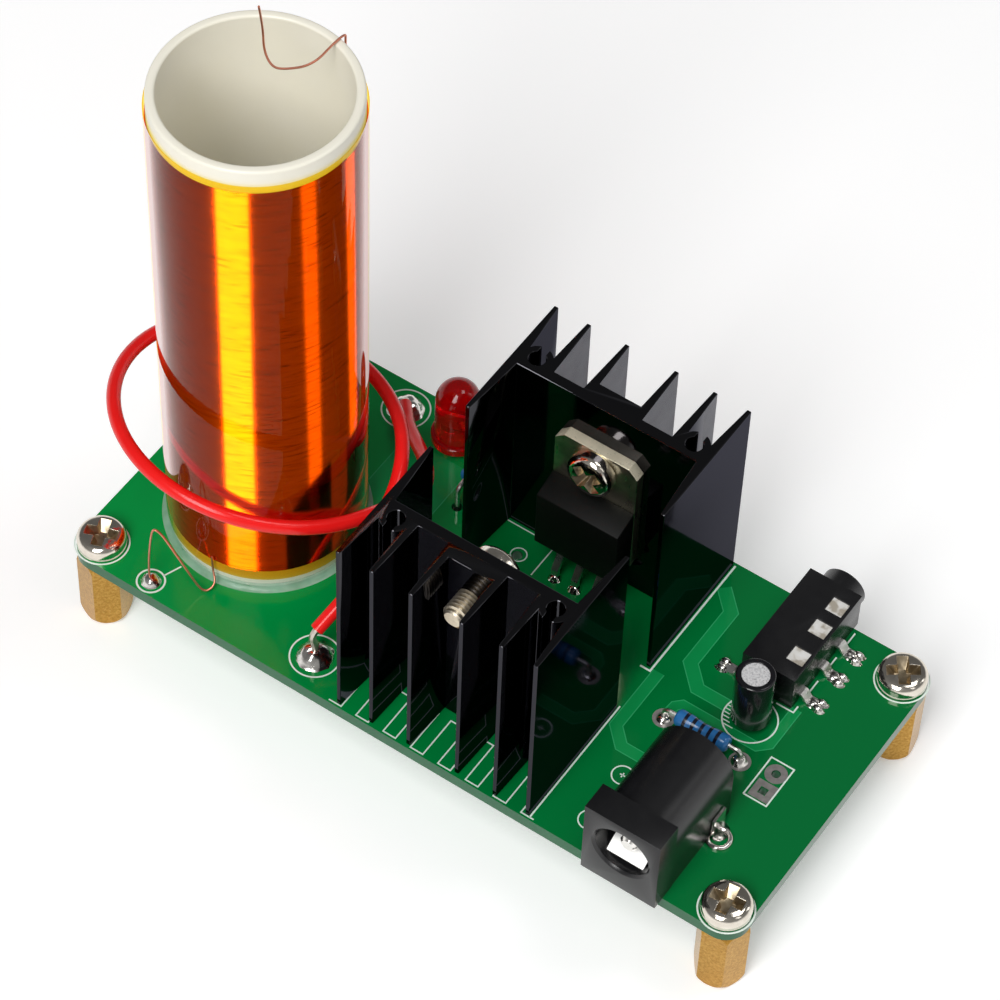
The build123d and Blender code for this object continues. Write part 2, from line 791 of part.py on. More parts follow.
with BuildPart() as audio_socket_legs:
    for side, row in [(1, row) for row in audio_leg_rows] + [(-1, audio_left_leg_row)]:
        leg_origin = on_board(audio_x + side * audio_width / 2, audio_end_y - row)
        leg_view = Plane(origin=leg_origin, x_dir=(side, 0, 0), z_dir=(0, -side, 0))
        high = audio_leg_exit + audio_leg_thickness / 2
        low = audio_leg_thickness / 2
        with BuildSketch(leg_view):
            with BuildLine():
                FilletPolyline((-audio_leg_root, high), (audio_leg_knee, high),
                               (audio_leg_reach - audio_leg_foot, low), (audio_leg_reach, low),
                               radius=audio_leg_bend)
            trace(line_width=audio_leg_thickness)
        extrude(amount=audio_leg_width / 2, both=True)
save(audio_socket_legs, "audio_socket_legs")

# ------------------------------------------------------------------ lamp
with BuildPart() as lamp_leads:
    for side, bulge in ((-1, led_cup_width), (1, led_post_width)):
        foot = Vector(led_x + side * leg_pitch / 2, led_y, lead_end)
        with BuildSketch(Plane(origin=foot)):
            Rectangle(led_lead, led_lead)
        extrude(amount=board_top + led_post_height - lead_end)
        inner = led_x + side * (leg_pitch + led_lead) / 2
        with BuildSketch(Plane(origin=on_board(inner - side * bulge / 2, led_y, led_post_height))):
            Rectangle(bulge, led_lead)
        extrude(amount=led_cup_height, taper=-led_cup_flare)
save(lamp_leads, "lamp_leads")

with BuildPart() as lamp_lens:
    radius = led_diameter / 2
    flange = led_flange_diameter / 2
    side_top = led_flange_height + led_side_height
    with BuildSketch(Plane(origin=on_board(led_x, led_y, led_stand), x_dir=(1, 0, 0),
                           z_dir=(0, -1, 0))):
        with BuildLine():
            Polyline((0, side_top + radius), (0, 0), (flange, 0), (flange, led_flange_height),
                     (radius, led_flange_height), (radius, side_top))
            RadiusArc((radius, side_top), (0, side_top + radius), -radius)
        make_face()
    revolve(axis=Axis(on_board(led_x, led_y), (0, 0, 1)))
    with BuildSketch(Plane(origin=on_board(led_x - flange, led_y, led_stand))):
        Rectangle(2 * led_flat, led_flange_diameter)
    extrude(amount=led_flange_height, mode=Mode.SUBTRACT)
    add(lamp_leads.part, mode=Mode.SUBTRACT)
save(lamp_lens, "lamp_lens")

# ------------------------------------------------------------------ capacitor
capacitor_view = Plane(origin=on_board(capacitor_x, capacitor_y, capacitor_stand),
                       x_dir=(1, 0, 0), z_dir=(0, -1, 0))
capacitor_axis = Axis(on_board(capacitor_x, capacitor_y), (0, 0, 1))
can_radius = capacitor_diameter / 2
can_top = capacitor_height - capacitor_sleeve

with BuildPart() as capacitor_bung:
    with BuildSketch(capacitor_view):
        Rectangle(can_radius - capacitor_groove, capacitor_bung_height, align=Align.MIN)
    revolve(axis=capacitor_axis)
save(capacitor_bung, "capacitor_bung")

with BuildPart() as capacitor_can:
    with BuildSketch(capacitor_view):
        with Locations((0, capacitor_bung_height)):
            Rectangle(can_radius, can_top - capacitor_bung_height, align=Align.MIN)
        with Locations((can_radius, capacitor_groove_height)):
            Rectangle(capacitor_groove, capacitor_groove, rotation=45, mode=Mode.SUBTRACT)
    revolve(axis=capacitor_axis)
    chamfer(capacitor_can.edges().group_by(Axis.Z)[-1], capacitor_can_edge)
save(capacitor_can, "capacitor_can")

with BuildPart() as capacitor_jacket:
    with BuildSketch(capacitor_view):
        with Locations((can_radius, 0)):
            Rectangle(capacitor_sleeve, capacitor_height, align=Align.MIN)
        with Locations((can_radius - capacitor_rim, can_top)):
            Rectangle(capacitor_rim + capacitor_sleeve, capacitor_sleeve, align=Align.MIN)
    revolve(axis=capacitor_axis)
    chamfer(capacitor_jacket.edges().group_by(Axis.Z)[-1].sort_by(SortBy.RADIUS)[-1],
            capacitor_sleeve)
save(capacitor_jacket, "capacitor_jacket")

with BuildPart() as capacitor_wires:
    with BuildSketch(Plane.XY.offset(lead_end)):
        with Locations(*plan(capacitor_leads)):
            RegularPolygon(capacitor_wire / 2, lead_sides)
    extrude(amount=board_top + capacitor_stand - lead_end)
save(capacitor_wires, "capacitor_wires")


# ------------------------------------------------------------------ resistors
def resistor_body(middle, way):
    """A moulded resistor lying along a direction: a waist between two rounded end caps."""
    end = resistor_length / 2
    cap = resistor_diameter / 2
    waist = resistor_waist / 2
    with BuildPart() as body:
        with BuildSketch(Plane(origin=middle, x_dir=way, z_dir=(way[1], -way[0], 0))):
            with BuildLine():
                Polyline((-end, cap - resistor_round), (resistor_round - end, cap),
                         (resistor_cap - end, cap), (2 * resistor_cap - end, waist),
                         (end - 2 * resistor_cap, waist), (end - resistor_cap, cap),
                         (end - resistor_round, cap), (end, cap - resistor_round),
                         (end, 0), (-end, 0), close=True)
            make_face()
        revolve(axis=Axis(middle, way))
    return body


def resistor_wires(places, height):
    """Its two leads: out of the end caps, round a bend and down through the board."""
    first, last = [point + Vector(0, 0, height) for point in places]
    way = (last - first).normalized()
    middle = (first + last) * 0.5
    with BuildPart() as wires:
        for corner, side in ((first, -1), (last, 1)):
            add(wire_along([middle + way * side * resistor_length / 2, corner,
                            Vector(corner.X, corner.Y, lead_end)],
                           resistor_lead, resistor_bend, lead_sides))
    return wires


resistor_leads = []
for name, places, height, way in (
    ("front_resistor", front_resistor_leads, front_resistor_height, (1, 0, 0)),
    ("rear_resistor", rear_resistor_leads, rear_resistor_height, (0, 1, 0)),
):
    centre = (places[0] + places[1]) * 0.5 + Vector(0, 0, height)
    save(resistor_body(centre, way), name)
    resistor_leads.append(resistor_wires(places, height))
    save(resistor_leads[-1], name + "_wires")

# ------------------------------------------------------------------ solder
through_leads = [
    lamp_leads, capacitor_wires, ground_lead, primary_core_ends, power_socket_pin,
    power_socket_contacts, heat_sink_pins, *transistor_legs, *resistor_leads,
]
with BuildPart() as top_solder:
    for pad, width, rise in ((wire_pads[0], pad_joint_diameter, pad_joint_height),
                             (wire_pads[1], pad_joint_diameter, pad_joint_height),
                             (wire_pads[2], ground_joint_diameter, ground_joint_height)):
        half = width / 2
        with BuildSketch(Plane(origin=pad, x_dir=(1, 0, 0), z_dir=(0, -1, 0))):
            with BuildLine():
                Polyline((0, rise), (0, 0), (half, 0))
                RadiusArc((half, 0), (0, rise), -(half**2 + rise**2) / (2 * rise))
            make_face()
        revolve(axis=Axis(pad, (0, 0, 1)))
    for wire in (primary_core_ends, primary_wire, ground_lead):
        add(wire.part, mode=Mode.SUBTRACT)
save(top_solder, "top_solder")

with BuildPart() as underside_solder:
    with BuildSketch(Plane.XY.offset(board_bottom)):
        with Locations(*plan(round_holes)):
            RegularPolygon(joint_diameter / 2, joint_sides)
        with Locations(*plan(sink_pin_places), *plan(power_legs)):
            RegularPolygon(wide_joint_diameter / 2, joint_sides)
    extrude(amount=-joint_height, taper=joint_taper)
    for leads in through_leads:
        add(leads.part, mode=Mode.SUBTRACT)
save(underside_solder, "underside_solder")
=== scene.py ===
"""Looks of the desktop resonant transformer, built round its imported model. Metres, +Z up."""
import math
import bpy
from mathutils import Matrix, Vector, noise


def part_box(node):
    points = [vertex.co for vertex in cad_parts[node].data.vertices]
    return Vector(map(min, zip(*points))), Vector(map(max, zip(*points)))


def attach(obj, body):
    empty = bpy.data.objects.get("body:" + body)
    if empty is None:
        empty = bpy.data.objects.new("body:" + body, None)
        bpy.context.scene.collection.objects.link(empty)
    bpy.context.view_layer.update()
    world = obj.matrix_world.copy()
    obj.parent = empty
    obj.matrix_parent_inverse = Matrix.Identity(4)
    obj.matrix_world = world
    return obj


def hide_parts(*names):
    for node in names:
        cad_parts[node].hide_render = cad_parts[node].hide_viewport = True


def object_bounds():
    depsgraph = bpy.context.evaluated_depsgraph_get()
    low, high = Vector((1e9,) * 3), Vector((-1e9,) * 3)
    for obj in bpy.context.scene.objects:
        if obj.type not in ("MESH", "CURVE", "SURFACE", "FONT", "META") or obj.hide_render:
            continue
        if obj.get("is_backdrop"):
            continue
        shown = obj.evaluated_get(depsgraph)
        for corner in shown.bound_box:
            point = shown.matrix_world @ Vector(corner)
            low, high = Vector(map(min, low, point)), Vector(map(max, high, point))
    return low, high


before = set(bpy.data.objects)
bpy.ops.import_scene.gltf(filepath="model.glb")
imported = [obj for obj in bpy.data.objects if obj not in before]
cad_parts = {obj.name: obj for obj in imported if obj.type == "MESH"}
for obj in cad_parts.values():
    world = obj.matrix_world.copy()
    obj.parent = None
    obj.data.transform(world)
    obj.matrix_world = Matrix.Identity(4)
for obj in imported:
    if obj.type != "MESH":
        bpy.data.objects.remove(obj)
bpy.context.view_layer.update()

mm = 0.001

# -------------------------------------------------- camera
# The view is from the front right, looking steeply down on the board, as the photograph has it.
# Its place and its turn were solved from the photograph.
camera_place = Vector((138.74, -219.42, 373.0)) * mm
camera_turn = [math.radians(angle) for angle in (37.179, -1.503, 34.361)]
bpy.ops.object.camera_add(location=camera_place, rotation=camera_turn)
camera = bpy.context.object
camera.data.sensor_width = 36.0
camera.data.lens = 150.53
camera.data.clip_start = 0.01
bpy.context.scene.camera = camera
bpy.context.scene.view_settings.view_transform = "Standard"

# -------------------------------------------------- lamps
# Softboxes stand round the table. The coil shows three of them as bright stripes down its side:
# a strong one in front, and two weak ones at its right. The fourth hangs high behind the board.
aim = Vector((-28.0, -3.0, 45.0)) * mm


def softbox(name, azimuth, elevation, width, height, radiance, distance=0.8):
    """A rectangular lamp of an even radiance: its place and its size are angles seen from the coil."""
    turn = math.radians(azimuth)
    rise = math.radians(elevation)
    away = Vector((math.cos(turn) * math.cos(rise), math.sin(turn) * math.cos(rise), math.sin(rise)))
    bpy.ops.object.light_add(type="AREA", location=aim + away * distance)
    lamp = bpy.context.object
    lamp.name = name
    lamp.rotation_euler = away.to_track_quat("Z", "Y").to_euler()
    lamp.data.shape = "RECTANGLE"
    lamp.data.size = 2 * distance * math.tan(math.radians(width / 2))
    lamp.data.size_y = 2 * distance * math.tan(math.radians(height / 2))
    lamp.data.energy = radiance * math.pi * lamp.data.size * lamp.data.size_y


softbox("front_softbox", azimuth=-81.0, elevation=50.0, width=22.0, height=42.0, radiance=9.0)
softbox("right_softbox", azimuth=-2.5, elevation=43.0, width=10.5, height=22.0, radiance=1.1)
softbox("back_softbox", azimuth=41.0, elevation=29.0, width=9.0, height=20.0, radiance=1.5)
softbox("top_softbox", azimuth=45.0, elevation=66.0, width=20.0, height=18.0, radiance=4.0)


# -------------------------------------------------- table and backdrop
# A plain white table before a white backdrop. The white shows to the camera, in mirrors and
# through glass. All else gets the room's dim light, a little stronger from the front.
class Value:
    """One output of a shader's nodes. Arithmetic on it adds Math nodes."""

    def __init__(self, recipe, socket):
        self.recipe = recipe
        self.socket = socket

    def __add__(self, other):
        return self.recipe.math("ADD", self, other)

    def __sub__(self, other):
        return self.recipe.math("SUBTRACT", self, other)

    def __rsub__(self, other):
        return self.recipe.math("SUBTRACT", other, self)

    def __mul__(self, other):
        return self.recipe.math("MULTIPLY", self, other)

    def __gt__(self, other):
        return self.recipe.math("GREATER_THAN", self, other)

    def __lt__(self, other):
        return self.recipe.math("LESS_THAN", self, other)

    def __abs__(self):
        return self.recipe.math("ABSOLUTE", self)

    __radd__ = __add__
    __rmul__ = __mul__


class Recipe:
    """The nodes of one shader, added by one method whatever their type."""

    def __init__(self, tree):
        self.nodes = tree.nodes
        self.links = tree.links

    def node(self, kind, settings=None, *terms, out=0, **named):
        """A node: its settings first, then the values or links of its sockets."""
        node = self.nodes.new(kind)
        for setting, value in (settings or {}).items():
            if setting == "stops":
                while len(node.color_ramp.elements) < len(value):
                    node.color_ramp.elements.new(1.0)
                for element, (place, colour) in zip(node.color_ramp.elements, value):
                    element.position = place
                    element.color = (*colour, 1)
            else:
                setattr(node, setting, value)
        sockets = list(zip(node.inputs, terms))
        sockets += [(node.inputs[name.replace("_", " ")], term) for name, term in named.items()]
        for socket, term in sockets:
            self.fill(socket, term)
        return Value(self, node.outputs[out])

    def fill(self, socket, term):
        """Link a socket, or give it its plain value. A colour of three parts gets its fourth."""
        if isinstance(term, Value):
            self.links.new(term.socket, socket)
        elif isinstance(term, tuple) and len(term) == 3 and len(socket.default_value) == 4:
            socket.default_value = (*term, 1)
        elif term is not None:
            socket.default_value = term

    def math(self, operation, *terms):
        """A Math node of this operation on these terms."""
        return self.node("ShaderNodeMath", {"operation": operation}, *terms)

    def place(self, axis=None):
        """A point of the piece in metres, or one of its coordinates."""
        point = self.node("ShaderNodeTexCoord", out="Object")
        if axis is None:
            return point
        return self.node("ShaderNodeSeparateXYZ", None, point, out="XYZ".index(axis))

    def facing_up(self):
        """How far a face looks up: 1 up, 0 sideways and -1 down."""
        normal = self.node("ShaderNodeNewGeometry", out="True Normal")
        return self.node("ShaderNodeSeparateXYZ", None, normal, out=2)

    def mottle(self, size, detail=2.0, stretch=(1, 1, 1)):
        """Soft random blotches about so many metres across, from 0 to 1."""
        spread = self.node("ShaderNodeMapping", None, Vector=self.place(), Scale=stretch)
        return self.node("ShaderNodeTexNoise", None, Vector=spread, Scale=1 / size, Detail=detail)

    def ramp(self, value, *stops):
        """Colours along a value."""
        return self.node("ShaderNodeValToRGB", {"stops": stops}, value)

    def mix(self, factor, first, second):
        """A colour between two colours."""
        mixed = self.node("ShaderNodeMix", {"data_type": "RGBA"}, factor, out=2)
        self.fill(mixed.socket.node.inputs[6], first)
        self.fill(mixed.socket.node.inputs[7], second)
        return mixed

    def background(self):
        """1 where a ray shows the background: straight to the camera, mirrored or through glass."""
        straight, mirrored, through = [self.node("ShaderNodeLightPath", out=f"Is {way} Ray")
                                       for way in ("Camera", "Glossy", "Transmission")]
        return self.math("MAXIMUM", self.math("MAXIMUM", straight, mirrored), through)


class Finish(Recipe):
    """A surface finish: one material with a Principled shader."""

    def __init__(self, name, colour=(0.8, 0.8, 0.8), **constants):
        self.material = bpy.data.materials.new(name)
        self.material.use_nodes = True
        super().__init__(self.material.node_tree)
        self.shader = self.nodes["Principled BSDF"]
        self.fill(self.shader.inputs["Base Color"], colour)
        for socket, constant in constants.items():
            self.fill(self.shader.inputs[socket.replace("_", " ")], constant)

    def feed(self, socket, value):
        """Let a pattern drive one socket of the shader."""
        self.links.new(value.socket, self.shader.inputs[socket])

    def bump(self, height, depth, strength):
        """Relief from a height pattern, so many metres deep."""
        relief = self.node("ShaderNodeBump", None, Strength=strength, Distance=depth, Height=height)
        self.feed("Normal", relief)

    def surface(self, value):
        """Use another shader as the material's surface."""
        self.links.new(value.socket, self.nodes["Material Output"].inputs["Surface"])


world = bpy.data.worlds.new("studio")
bpy.context.scene.world = world
world.use_nodes = True
studio = Recipe(world.node_tree)
direction = studio.node("ShaderNodeTexCoord", out="Generated")
front = Vector((0.565, -0.825, 0.0))
toward_front = studio.node("ShaderNodeVectorMath", {"operation": "DOT_PRODUCT"}, direction, front, out=1)
room_behind, room_in_front = 0.12, 0.26
room = studio.node("ShaderNodeMapRange", None, toward_front, -0.5, 0.7, room_behind, room_in_front)
rise = studio.node("ShaderNodeSeparateXYZ", None, direction, out=2)
white_up_to, gone_above = 0.12, 0.36
backdrop = studio.node("ShaderNodeMapRange", None, rise, white_up_to, gone_above, 1.0, 0.0)
brightness = room + studio.background() * backdrop * (1 - room)
studio.links.new(brightness.socket, studio.nodes["Background"].inputs["Strength"])
studio.nodes["Background"].inputs["Color"].default_value = (1, 1, 1, 1)

paper = Finish("white_table", (0.86, 0.86, 0.86), Roughness=0.95, Specular_IOR_Level=0.0)
lit = Value(paper, paper.shader.outputs[0])
glow = paper.node("ShaderNodeEmission", None, (1, 1, 1), 0.3)
paper.surface(paper.node("ShaderNodeMixShader", None, paper.background(), lit,
                         paper.node("ShaderNodeAddShader", None, lit, glow)))
bpy.ops.mesh.primitive_plane_add(size=8.0)
table = bpy.context.object
table.name = "table"
table.data.materials.append(paper.material)
table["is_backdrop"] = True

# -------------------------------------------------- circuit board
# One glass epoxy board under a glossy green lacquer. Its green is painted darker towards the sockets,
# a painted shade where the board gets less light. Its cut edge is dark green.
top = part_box("circuit_board")[1].z

lacquer = Finish("green_lacquer", Roughness=0.1, IOR=1.4)
# The field's green runs from light at the left to dark at the right: painted shade across the board.
along_board = lacquer.place("X") + 8 * mm * lacquer.mottle(9 * mm)
spread = lacquer.node("ShaderNodeMapRange", None, along_board, -40 * mm, 30 * mm, 0.0, 1.0)
field_with_painted_shade = lacquer.mix(spread, (0.0, 0.30, 0.055), (0.0, 0.15, 0.033))
edge = lacquer.mix(lacquer.mottle(1.5 * mm), (0.004, 0.10, 0.035), (0.012, 0.14, 0.05))
lacquer.feed("Base Color", lacquer.mix(abs(lacquer.facing_up()) > 0.5, edge, field_with_painted_shade))
lacquer.bump(lacquer.mottle(1.5 * mm), 0.02 * mm, 0.3)


def dress(node, finish):
    """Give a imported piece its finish."""
    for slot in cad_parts[node].material_slots:
        slot.material = finish.material


dress("circuit_board", lacquer)


# -------------------------------------------------- copper under the lacquer
# Tracks show through as lighter bands that stand a hair proud of the board's face.
def select_only(*pieces):
    """Select these pieces, the first of them active."""
    bpy.ops.object.select_all(action="DESELECT")
    for piece in pieces:
        piece.select_set(True)
    bpy.context.view_layer.objects.active = pieces[0]


def apply_all(piece):
    """Apply every modifier of a piece, in order."""
    select_only(piece)
    for modifier in list(piece.modifiers):
        bpy.ops.object.modifier_apply(modifier=modifier.name)


def line_object(name, points, closed=False):
    """A mesh that is only a line through points."""
    count = len(points)
    steps = range(count if closed else count - 1)
    mesh = bpy.data.meshes.new(name)
    mesh.from_pydata(points, [(step, (step + 1) % count) for step in steps], [])
    line = bpy.data.objects.new(name, mesh)
    bpy.context.collection.objects.link(line)
    select_only(line)
    return line


def strip(name, points, draw, thickness, closed=False):
    """A strip: a line through points, drawn out straight and given an even thickness. Metres."""
    band = line_object(name, points, closed)
    bpy.ops.object.mode_set(mode="EDIT")
    bpy.ops.mesh.select_all(action="SELECT")
    bpy.ops.mesh.extrude_region_move(TRANSFORM_OT_translate={"value": draw})
    bpy.ops.object.mode_set(mode="OBJECT")
    wall = band.modifiers.new("wall", "SOLIDIFY")
    wall.thickness = thickness
    wall.offset = 0
    wall.use_even_offset = True
    apply_all(band)
    return band


def flat_line(points, width, height, closed=False):
    """A flat band along points of the board's plan, in millimetres but for its height."""
    return strip("band", [(x * mm, y * mm, top) for x, y in points], (0, 0, height), width * mm, closed)


def ring(centre, radius, width, height, steps=48):
    """A flat printed circle."""
    angles = [math.radians(360 * step / steps) for step in range(steps)]
    around = [(centre[0] + radius * math.cos(angle), centre[1] + radius * math.sin(angle))
              for angle in angles]
    return flat_line(around, width, height, closed=True)


def join(name, pieces):
    """One piece of several, with a good name."""
    select_only(*pieces)
    bpy.ops.object.join()
    piece = bpy.context.object
    piece.name = name
    piece.data.name = name
    return piece


copper = Finish("lacquer_over_copper", Roughness=0.1, IOR=1.4)
copper.feed("Base Color", copper.mix(copper.mottle(4 * mm), (0.004, 0.24, 0.06), (0.006, 0.285, 0.075)))
rim = Finish("lacquer_over_copper_rim", Roughness=0.14, IOR=1.4)
rim.feed("Base Color", rim.mix(rim.mottle(4 * mm), (0.02, 0.32, 0.11), (0.03, 0.38, 0.14)))
runs = [
    ([(18.0, 16.5), (20.35, 14.15), (20.35, 6.2), (22.75, 3.8), (27.0, 3.8)], 1.5),
    ([(18.3, 3.2), (18.3, -5.0), (20.2, -6.9), (24.6, -6.9)], 1.3),
    ([(21.9, -0.6), (22.0, 0.6), (22.6, 1.2), (31.7, 1.2), (32.7, 2.2), (32.7, 7.6)], 1.1),
    ([(-17.25, 1.0), (-17.25, 13.5)], 8.3),
]
layers = [("track_rims", rim, 0.14, 0.012), ("board_tracks", copper, -0.1, 0.02)]
for name, finish, extra_width, height in layers:
    bands = join(name, [flat_line(points, width + extra_width, height * mm) for points, width in runs])
    bands.data.materials.append(finish.material)
    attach(bands, "root")

# -------------------------------------------------- printed outlines
# White ink outlines of the parts: rings round the screws and pads, the front heat sink's comb,
# the capacitor's circle with its hatched half, two signs by the power socket and the empty
# header's frame. No letters.
ink = Finish("white_ink", Roughness=0.45)
ink.feed("Base Color", ink.mix(ink.mottle(0.4 * mm), (0.62, 0.78, 0.68), (0.84, 0.90, 0.86)))
ink_height = 0.03 * mm
coil_low, coil_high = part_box("coil_former")
coil_centre = (coil_low + coil_high) / 2
screw_low, screw_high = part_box("board_screws")
screw_radius = 2.75
screw_places = [(x, y) for x in (screw_low.x / mm + screw_radius, screw_high.x / mm - screw_radius)
                for y in (screw_low.y / mm + screw_radius, screw_high.y / mm - screw_radius)]
back_pad = (-23.74, 16.66)
front_pad = (-12.42, -16.07)
ground_pad = (-32.4, -18.3)
cap_low, cap_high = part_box("capacitor_jacket")
cap = ((cap_low.x + cap_high.x) / 2 / mm, (cap_low.y + cap_high.y) / 2 / mm)
pin_mark = (-2.4, 7.36)
plus_sign = (22.3, -9.85)
minus_sign = (22.5, -16.4)
circles = [(place, 2.95, 0.18) for place in screw_places]
circles += [(back_pad, 2.72, 0.17), (front_pad, 2.72, 0.17), (ground_pad, 1.52, 0.2), (cap, 2.95, 0.17),
            (pin_mark, 0.9, 0.14), (plus_sign, 1.15, 0.15), (minus_sign, 1.15, 0.15)]
outlines = [ring(centre, radius, width, ink_height) for centre, radius, width in circles]
tooth_first, tooth_pitch, tooth_width = -8.01, 3.47, 1.57
tooth_root, tooth_tip = -14.55, -19.7
comb = []
for tooth in range(8):
    left = tooth_first + tooth_pitch * tooth
    right = left + tooth_width
    comb += [(left, tooth_root), (left, tooth_tip), (right, tooth_tip), (right, tooth_root)]
ground_line = [(-31.7, -16.95), (-30.9, -14.9)]
back_sink_left = [(-6.65, 5.9), (-6.65, 10.55), (0.2, 10.55), (0.2, 5.9)]
back_sink_right = [(16.2, 2.8), (17.45, 2.8), (17.45, 19.6)]
front_sink_right = [(17.35, -2.8), (17.35, -19.7)]
header_frame = [(33.72, -4.5), (33.72, 1.0), (36.5, 1.0), (36.5, -4.5), (33.72, -4.5)]
audio_side = [[(30.5, 7.05), (32.6, 7.05), (32.6, 8.0)], [(32.6, 10.3), (32.6, 12.0)],
              [(32.6, 14.3), (32.6, 15.7)], [(32.6, 17.9), (32.6, 19.5)]]
strokes = [(comb[1:-1], 0.15), (ground_line, 0.17), (back_sink_left, 0.14), (back_sink_right, 0.22),
           (front_sink_right, 0.18), (header_frame, 0.17), *[(dash, 0.17) for dash in audio_side]]
arm, sign_width = 0.3, 0.14
strokes += [([(x - arm, y), (x + arm, y)], sign_width) for x, y in (plus_sign, minus_sign)]
strokes.append(([(plus_sign[0], plus_sign[1] - arm), (plus_sign[0], plus_sign[1] + arm)], sign_width))
hatch_outer, hatch_inner, hatch_width = 2.9, 2.2, 0.12
for step in range(9):
    across = -2.0 + 0.45 * step
    hatch = [(cap[0] - math.sqrt(radius**2 - across**2), cap[1] + across)
             for radius in (hatch_outer, hatch_inner)]
    strokes.append((hatch, hatch_width))
outlines += [flat_line(points, width, ink_height) for points, width in strokes]
legend = join("board_outlines", outlines)
legend.data.materials.append(ink.material)
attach(legend, "root")

# -------------------------------------------------- tinned pads
# Bare tinned copper round the empty header's two holes and the resistor's two.
tin = Finish("tinned_pads", Metallic=0.6)
tin.feed("Base Color", tin.mix(tin.mottle(0.6 * mm), (0.22, 0.21, 0.20), (0.44, 0.41, 0.40)))
tin.feed("Roughness", 0.22 + 0.3 * tin.mottle(0.4 * mm))
pad_height = 0.04 * mm
round_pad, square_pad = (35.23, -0.54), (35.23, -3.08)
resistor_pads = ((21.9, -1.4), (31.3, -1.4))
corners = ((-1, -1), (1, -1), (1, 1), (-1, 1))
square = [(square_pad[0] + 0.82 * x, square_pad[1] + 0.82 * y) for x, y in corners]
pads = [ring(round_pad, 0.86, 0.72, pad_height), flat_line(square, 0.72, pad_height, closed=True)]
pads += [ring(hole, 0.92, 0.6, pad_height) for hole in resistor_pads]
pads = join("board_pads", pads)
pads.data.materials.append(tin.material)
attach(pads, "root")

# -------------------------------------------------- brass legs
# Four hexagonal legs cut from drawn brass bar, turned round at both ends and tapped through.
# Each stops at its own angle when its screw is tight. They are a little tarnished.
brass = Finish("tarnished_brass", Metallic=1.0)
speckle = brass.mottle(0.3 * mm, 3.0)
warm = brass.ramp(speckle, (0.36, (0.40, 0.21, 0.035)), (0.5, (0.50, 0.28, 0.055)),
                  (0.64, (0.58, 0.34, 0.08)))
brass.feed("Base Color", brass.mix(0.5 * brass.mottle(4 * mm), warm, (0.36, 0.17, 0.03)))
brass.feed("Roughness", 0.18 + 0.14 * speckle)
leg_low, leg_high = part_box("hex_standoffs")
leg_height = leg_high.z - leg_low.z
leg_across_flats = 5.0 * mm
leg_bore = 1.25 * mm


def turned(name, profile, steps=48):
    """A lathe-turned body about the Z axis: a disc at the profile's first radius and height, pushed
    up and scaled ring by ring. A radius of 0 closes the end."""
    radius, height = profile[0]
    bpy.ops.mesh.primitive_circle_add(vertices=steps, radius=radius, fill_type="NGON",
                                      location=(0, 0, height))
    body = bpy.context.object
    bpy.ops.object.transform_apply(location=True)
    bpy.ops.object.mode_set(mode="EDIT")
    bpy.ops.mesh.select_all(action="SELECT")
    for (wide, low), (narrow, high) in zip(profile, profile[1:]):
        bpy.ops.mesh.extrude_region_move(TRANSFORM_OT_translate={"value": (0, 0, high - low)})
        scale = max(narrow, 1e-7) / wide
        bpy.ops.transform.resize(value=(scale, scale, 1), center_override=(0, 0, high))
        if narrow == 0:
            bpy.ops.mesh.merge(type="CENTER")
    bpy.ops.mesh.select_all(action="SELECT")
    bpy.ops.mesh.normals_make_consistent(inside=False)
    bpy.ops.object.mode_set(mode="OBJECT")
    body.name = name
    bpy.ops.object.shade_smooth_by_angle(angle=math.radians(35))
    return body


def combine(body, other, operation):
    """Cut, join or keep the shared part of two bodies. The second one is used up."""
    boolean = body.modifiers.new("boolean", "BOOLEAN")
    boolean.operation = operation
    boolean.object = other
    boolean.solver = "EXACT"
    apply_all(body)
    bpy.data.objects.remove(other)


def copy_of(piece, matrix):
    """A copy with its own mesh, moved by a matrix."""
    select_only(piece)
    bpy.ops.object.duplicate(linked=False)
    twin = bpy.context.object
    twin.data.transform(matrix)
    return twin


def placed(x, y, z, turn=0):
    """A place, with a turn about its upright axis in degrees."""
    return Matrix.Translation((x, y, z)) @ Matrix.Rotation(math.radians(turn), 4, "Z")


corner_radius = leg_across_flats / math.cos(math.radians(30)) / 2
hexagon = turned("hexagon", [(corner_radius, 0), (corner_radius, leg_height)], steps=6)
hair = 0.0001 * mm
barrel = turned("barrel", [
    (2.25 * mm, -hair), (2.55 * mm, 0.25 * mm), (2.8 * mm, 0.7 * mm), (2.95 * mm, 1.4 * mm),
    (2.95 * mm, leg_height - 1.0 * mm), (2.6 * mm, leg_height - 0.3 * mm),
    (2.3 * mm, leg_height + hair),
], steps=64)
combine(hexagon, barrel, "INTERSECT")
bore = turned("bore", [(leg_bore, -mm), (leg_bore, leg_height + mm)], steps=32)
combine(hexagon, bore, "DIFFERENCE")
leg_turns = (12, 33, -22, 8)
half_span_x, half_span_y = 39.75 * mm, 17.25 * mm
leg_places = [(x * half_span_x, y * half_span_y) for x in (-1, 1) for y in (-1, 1)]
legs = [copy_of(hexagon, placed(x, y, leg_low.z, turn)) for turn, (x, y) in zip(leg_turns, leg_places)]
bpy.data.objects.remove(hexagon)
legs = join("brass_legs", legs)
bpy.ops.object.shade_smooth_by_angle(angle=math.radians(28))
legs.data.materials.append(brass.material)
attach(legs, "root")
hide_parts("hex_standoffs")
